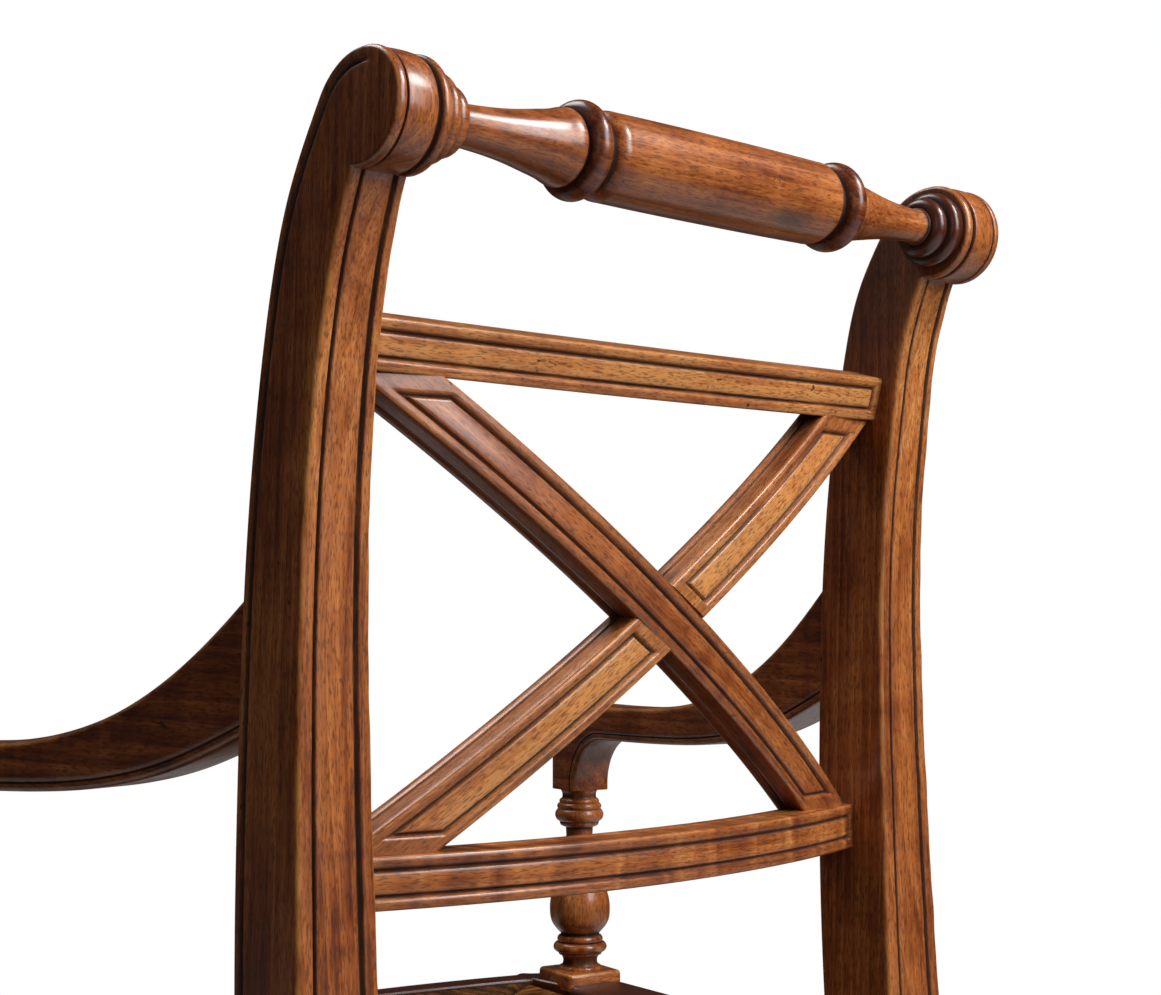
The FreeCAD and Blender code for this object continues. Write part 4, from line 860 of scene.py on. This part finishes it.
def woven_seat():
    """Rush seat in four sectors: cords run in from each edge, over its rounded rim, to the seams that come
    from the corners and meet in the middle. Height is the crown plus the round of a cord, and it dips at the
    seams. The gaps between cords and the dips at the seams are darkened with painted shade."""
    cords, fine = 54, 7
    top, rim_low, skirt = 472.8, 458.5, 456.4
    cord_round, seam_dip, rim_width, crown_reach = 2.3, 2.6, 16, 260
    share = np.linspace(0, 1, cords * fine + 1)
    middle = np.array((0.0, -215.0))
    corners = np.array(((183.5, -46.5), (-183.5, -46.5), (-246.5, -377.5), (246.5, -377.5)))
    bow = (0, -419.5)
    inside = np.concatenate([[0.0], np.linspace(0, 1, 30) ** 1.15])
    wave = np.sqrt(abs(np.sin(math.pi * share * cords)))[:, None]
    rows = []
    gap_shade = []
    fibres = []
    for k in range(4):
        a, b = corners[k], corners[(k + 1) % 4]
        edge = a + (b - a) * share[:, None]
        if k == 2:
            edge[:, 1] = arc(a, bow, b, 2000)[np.round(share * 1999).astype(int), 1]
        seam = np.where(share[:, None] < 0.5, a + (middle - a) * 2 * share[:, None],
                        middle + (b - middle) * (2 * share[:, None] - 1))
        span = np.linalg.norm(seam - edge, axis=1)[:, None]
        plan = edge[:, None] + (seam - edge)[:, None] * inside[:, None]
        far = inside * span
        rim = 1 - stepped(far, 0, rim_width)
        reach = np.linalg.norm(plan - middle, axis=2) / crown_reach
        crown = top - 7.0 * stepped(reach, 0.15, 0.95) - 8.0 * rim ** 2
        dip = seam_dip * (1 - stepped(span - far, 0, 7))
        z = crown - dip - cord_round * (1 - wave) * (1 - 0.4 * rim)
        z[:, :2] = (skirt, rim_low)
        # The last line of a sector is the first of the next one.
        rows.append(np.concatenate([plan, z[..., None]], -1)[:-1])
        # Painted shade in the gaps between cords and in the dips at the seams.
        gap_shade.append(np.clip(0.9 * (1 - wave) ** 1.5 + dip / 4, 0, 1)[:-1])
        fibres.append(np.stack([share[:, None] * cords * 7 + 0 * z, z * 0.3 + 40 * k, far], -1)[:-1])
    loops = np.concatenate(rows).transpose(1, 0, 2)
    stain_and_shade = np.concatenate(gap_shade).T
    lumber = np.concatenate(fibres).transpose(1, 0, 2)
    # A first row in the middle of the underside closes it.
    loops = np.concatenate([loops[:1] * [0, 0, 1] + [*middle, 0], loops])
    stain_and_shade = np.concatenate([stain_and_shade[:1], stain_and_shade])
    lumber = np.concatenate([lumber[:1], lumber])
    return surface("woven_seat", loops, RUSH, body="loose_seat", grain=lumber, stain_and_shade=stain_and_shade,
                   stand_for=("woven_seat",), caps=False, sharp=80.0, seed=20.0)


def dress_hidden_nodes():
    """Hidden boards, dowels, screws and glides keep their solids and get their own finishes."""
    boards = ("corner_blocks", "arm_dowels", "slip_frame_front", "slip_frame_rear", "slip_frame_left",
              "slip_frame_right")
    for finish, names in ((BEECH, boards), (STEEL, ("corner_block_screws",)), (NYLON, ("foot_glides",))):
        for name in names:
            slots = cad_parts[name].data.materials
            slots.clear()
            slots.append(finish)


def stand(name, data, right, up, back, place):
    """Lamp or camera in the scene: the columns of its matrix are its three axes and its place."""
    item = bpy.data.objects.new(name, data)
    bpy.context.scene.collection.objects.link(item)
    item.matrix_world = Matrix([[right[k], up[k], back[k], place[k]] for k in range(3)] + [[0, 0, 0, 1]])
    return item


def studio():
    """Pale floor that fades to white away from the chair, soft lamps, and white surroundings for the
    camera."""
    floor_finish, tree, shader = new_material("floor_pale")
    place = add(tree, "ShaderNodeTexCoord", out="Object")
    cloud = add(tree, "ShaderNodeTexNoise", {"Vector": place, "Scale": 2.0})
    tint = add(tree, "ShaderNodeValToRGB", {"Fac": cloud}, stops=((0.3, "#E4E3E1"), (0.7, "#EAE9E7")))
    seen = add(tree, "ShaderNodeLightPath", out="Is Diffuse Ray")
    tint = add(tree, "ShaderNodeMix", {0: seen, 6: tint, 7: linear("#504E4C")}, out=2, data_type="RGBA")
    tree.links.new(tint, shader.inputs["Base Color"])
    shader.inputs["Roughness"].default_value = 0.8
    away = add(tree, "ShaderNodeVectorMath", {0: place}, out="Value", operation="LENGTH")
    far = add(tree, "ShaderNodeMapRange", {"Value": away, "From Min": 0.7, "From Max": 1.7},
              interpolation_type="SMOOTHSTEP")
    shown = add(tree, "ShaderNodeLightPath", out="Is Camera Ray")
    faded = add(tree, "ShaderNodeMath", {0: far, 1: shown}, operation="MULTIPLY")
    white = add(tree, "ShaderNodeEmission", {"Color": (1, 1, 1, 1), "Strength": 1.0})
    both = add(tree, "ShaderNodeMixShader", {0: faded, 1: shader.outputs[0], 2: white})
    tree.links.new(both, tree.nodes["Material Output"].inputs["Surface"])
    mesh = bpy.data.meshes.new("floor")
    mesh.from_pydata([(-1.9, -1.9, 0), (1.9, -1.9, 0), (1.9, 3.4, 0), (-1.9, 3.4, 0)], [], [(0, 1, 2, 3)])
    mesh.materials.append(floor_finish)
    floor = bpy.data.objects.new("floor", mesh)
    bpy.context.scene.collection.objects.link(floor)

    world = bpy.data.worlds.new("studio")
    bpy.context.scene.world = world
    world.use_nodes = True
    tree = world.node_tree
    seen = add(tree, "ShaderNodeLightPath", out="Is Camera Ray")
    room = tree.nodes["Background"]
    room.inputs["Color"].default_value = linear("#D9D6D2")
    room.inputs["Strength"].default_value = 0.05
    white = add(tree, "ShaderNodeBackground", {"Color": (1, 1, 1, 1), "Strength": 1.0})
    both = add(tree, "ShaderNodeMixShader", {0: seen, 1: room.outputs[0], 2: white})
    tree.links.new(both, tree.nodes["World Output"].inputs["Surface"])

    for name, place, target, size, power in (
            ("rear_soft", (-0.4, 2.15, 1.7), (0.0, 0.15, 0.8), 1.2, 43.0),
            ("over_soft", (-0.6, 1.2, 2.15), (0.0, 0.15, 0.85), 0.55, 28.0),
            ("side_fill", (2.2, 1.1, 1.5), (0.0, 0.1, 0.7), 1.2, 4.0),
            ("front_fill", (0.4, -1.05, 2.85), (0.0, -0.1, 0.6), 1.1, 28.0)):
        lamp = bpy.data.lights.new(name, "AREA")
        lamp.shape = "SQUARE"
        lamp.size = size
        lamp.energy = power
        aim = np.array(target) - place
        away = -aim / np.linalg.norm(aim)
        right = np.cross((0, 0, 1), away)
        right /= np.linalg.norm(right)
        stand(name, lamp, right, np.cross(away, right), away, place)


def camera():
    """Camera of the photograph: from behind the chair on its left, level with the arms, looking slightly
    up."""
    place = (0.7483, 0.9128, 0.7457)
    yaw, pitch = math.radians(43.116), math.radians(3.1035)
    photo_width, focal_pixels, sensor = 1161, 1973.4, 36.0
    ahead = np.array((-math.sin(yaw) * math.cos(pitch), -math.cos(yaw) * math.cos(pitch), math.sin(pitch)))
    right = np.array((-math.cos(yaw), math.sin(yaw), 0.0))
    lens = bpy.data.cameras.new("photo_camera")
    lens.sensor_width = sensor
    lens.lens = sensor * focal_pixels / photo_width
    bpy.context.scene.camera = stand("photo_camera", lens, right, np.cross(right, ahead), -ahead, place)


stile("left_stile", 1)
stile("right_stile", -1)
top_rail()
back_rail("upper_back_rail", foot=(-3.0, 868.7), bow=7.0, thick=28.0, tilt=15.0, figured=0.4, tone_and_painted_light=0.19,
          seed=4.0)
back_rail("lower_back_rail", foot=(-22.0, 613.0), bow=34.0, thick=29.0, tilt=0.0, figured=0.8, tone_and_painted_light=0.06,
          seed=5.0)
cross_bar("cross_bar_a", 1, tone_and_painted_light=-0.03, seed=6.0)
cross_bar("cross_bar_b", -1, tone_and_painted_light=0.15, seed=7.0)
arm("left_arm", 1, seed=8.0)
arm("right_arm", -1, seed=9.0)
arm_support(1, seed=15.0)
arm_support(-1, seed=16.0)
front_leg(1, seed=17.0)
front_leg(-1, seed=18.0)
seat_rails()
woven_seat()
dress_hidden_nodes()
studio()
camera()
bpy.context.scene.view_settings.view_transform = "Standard"
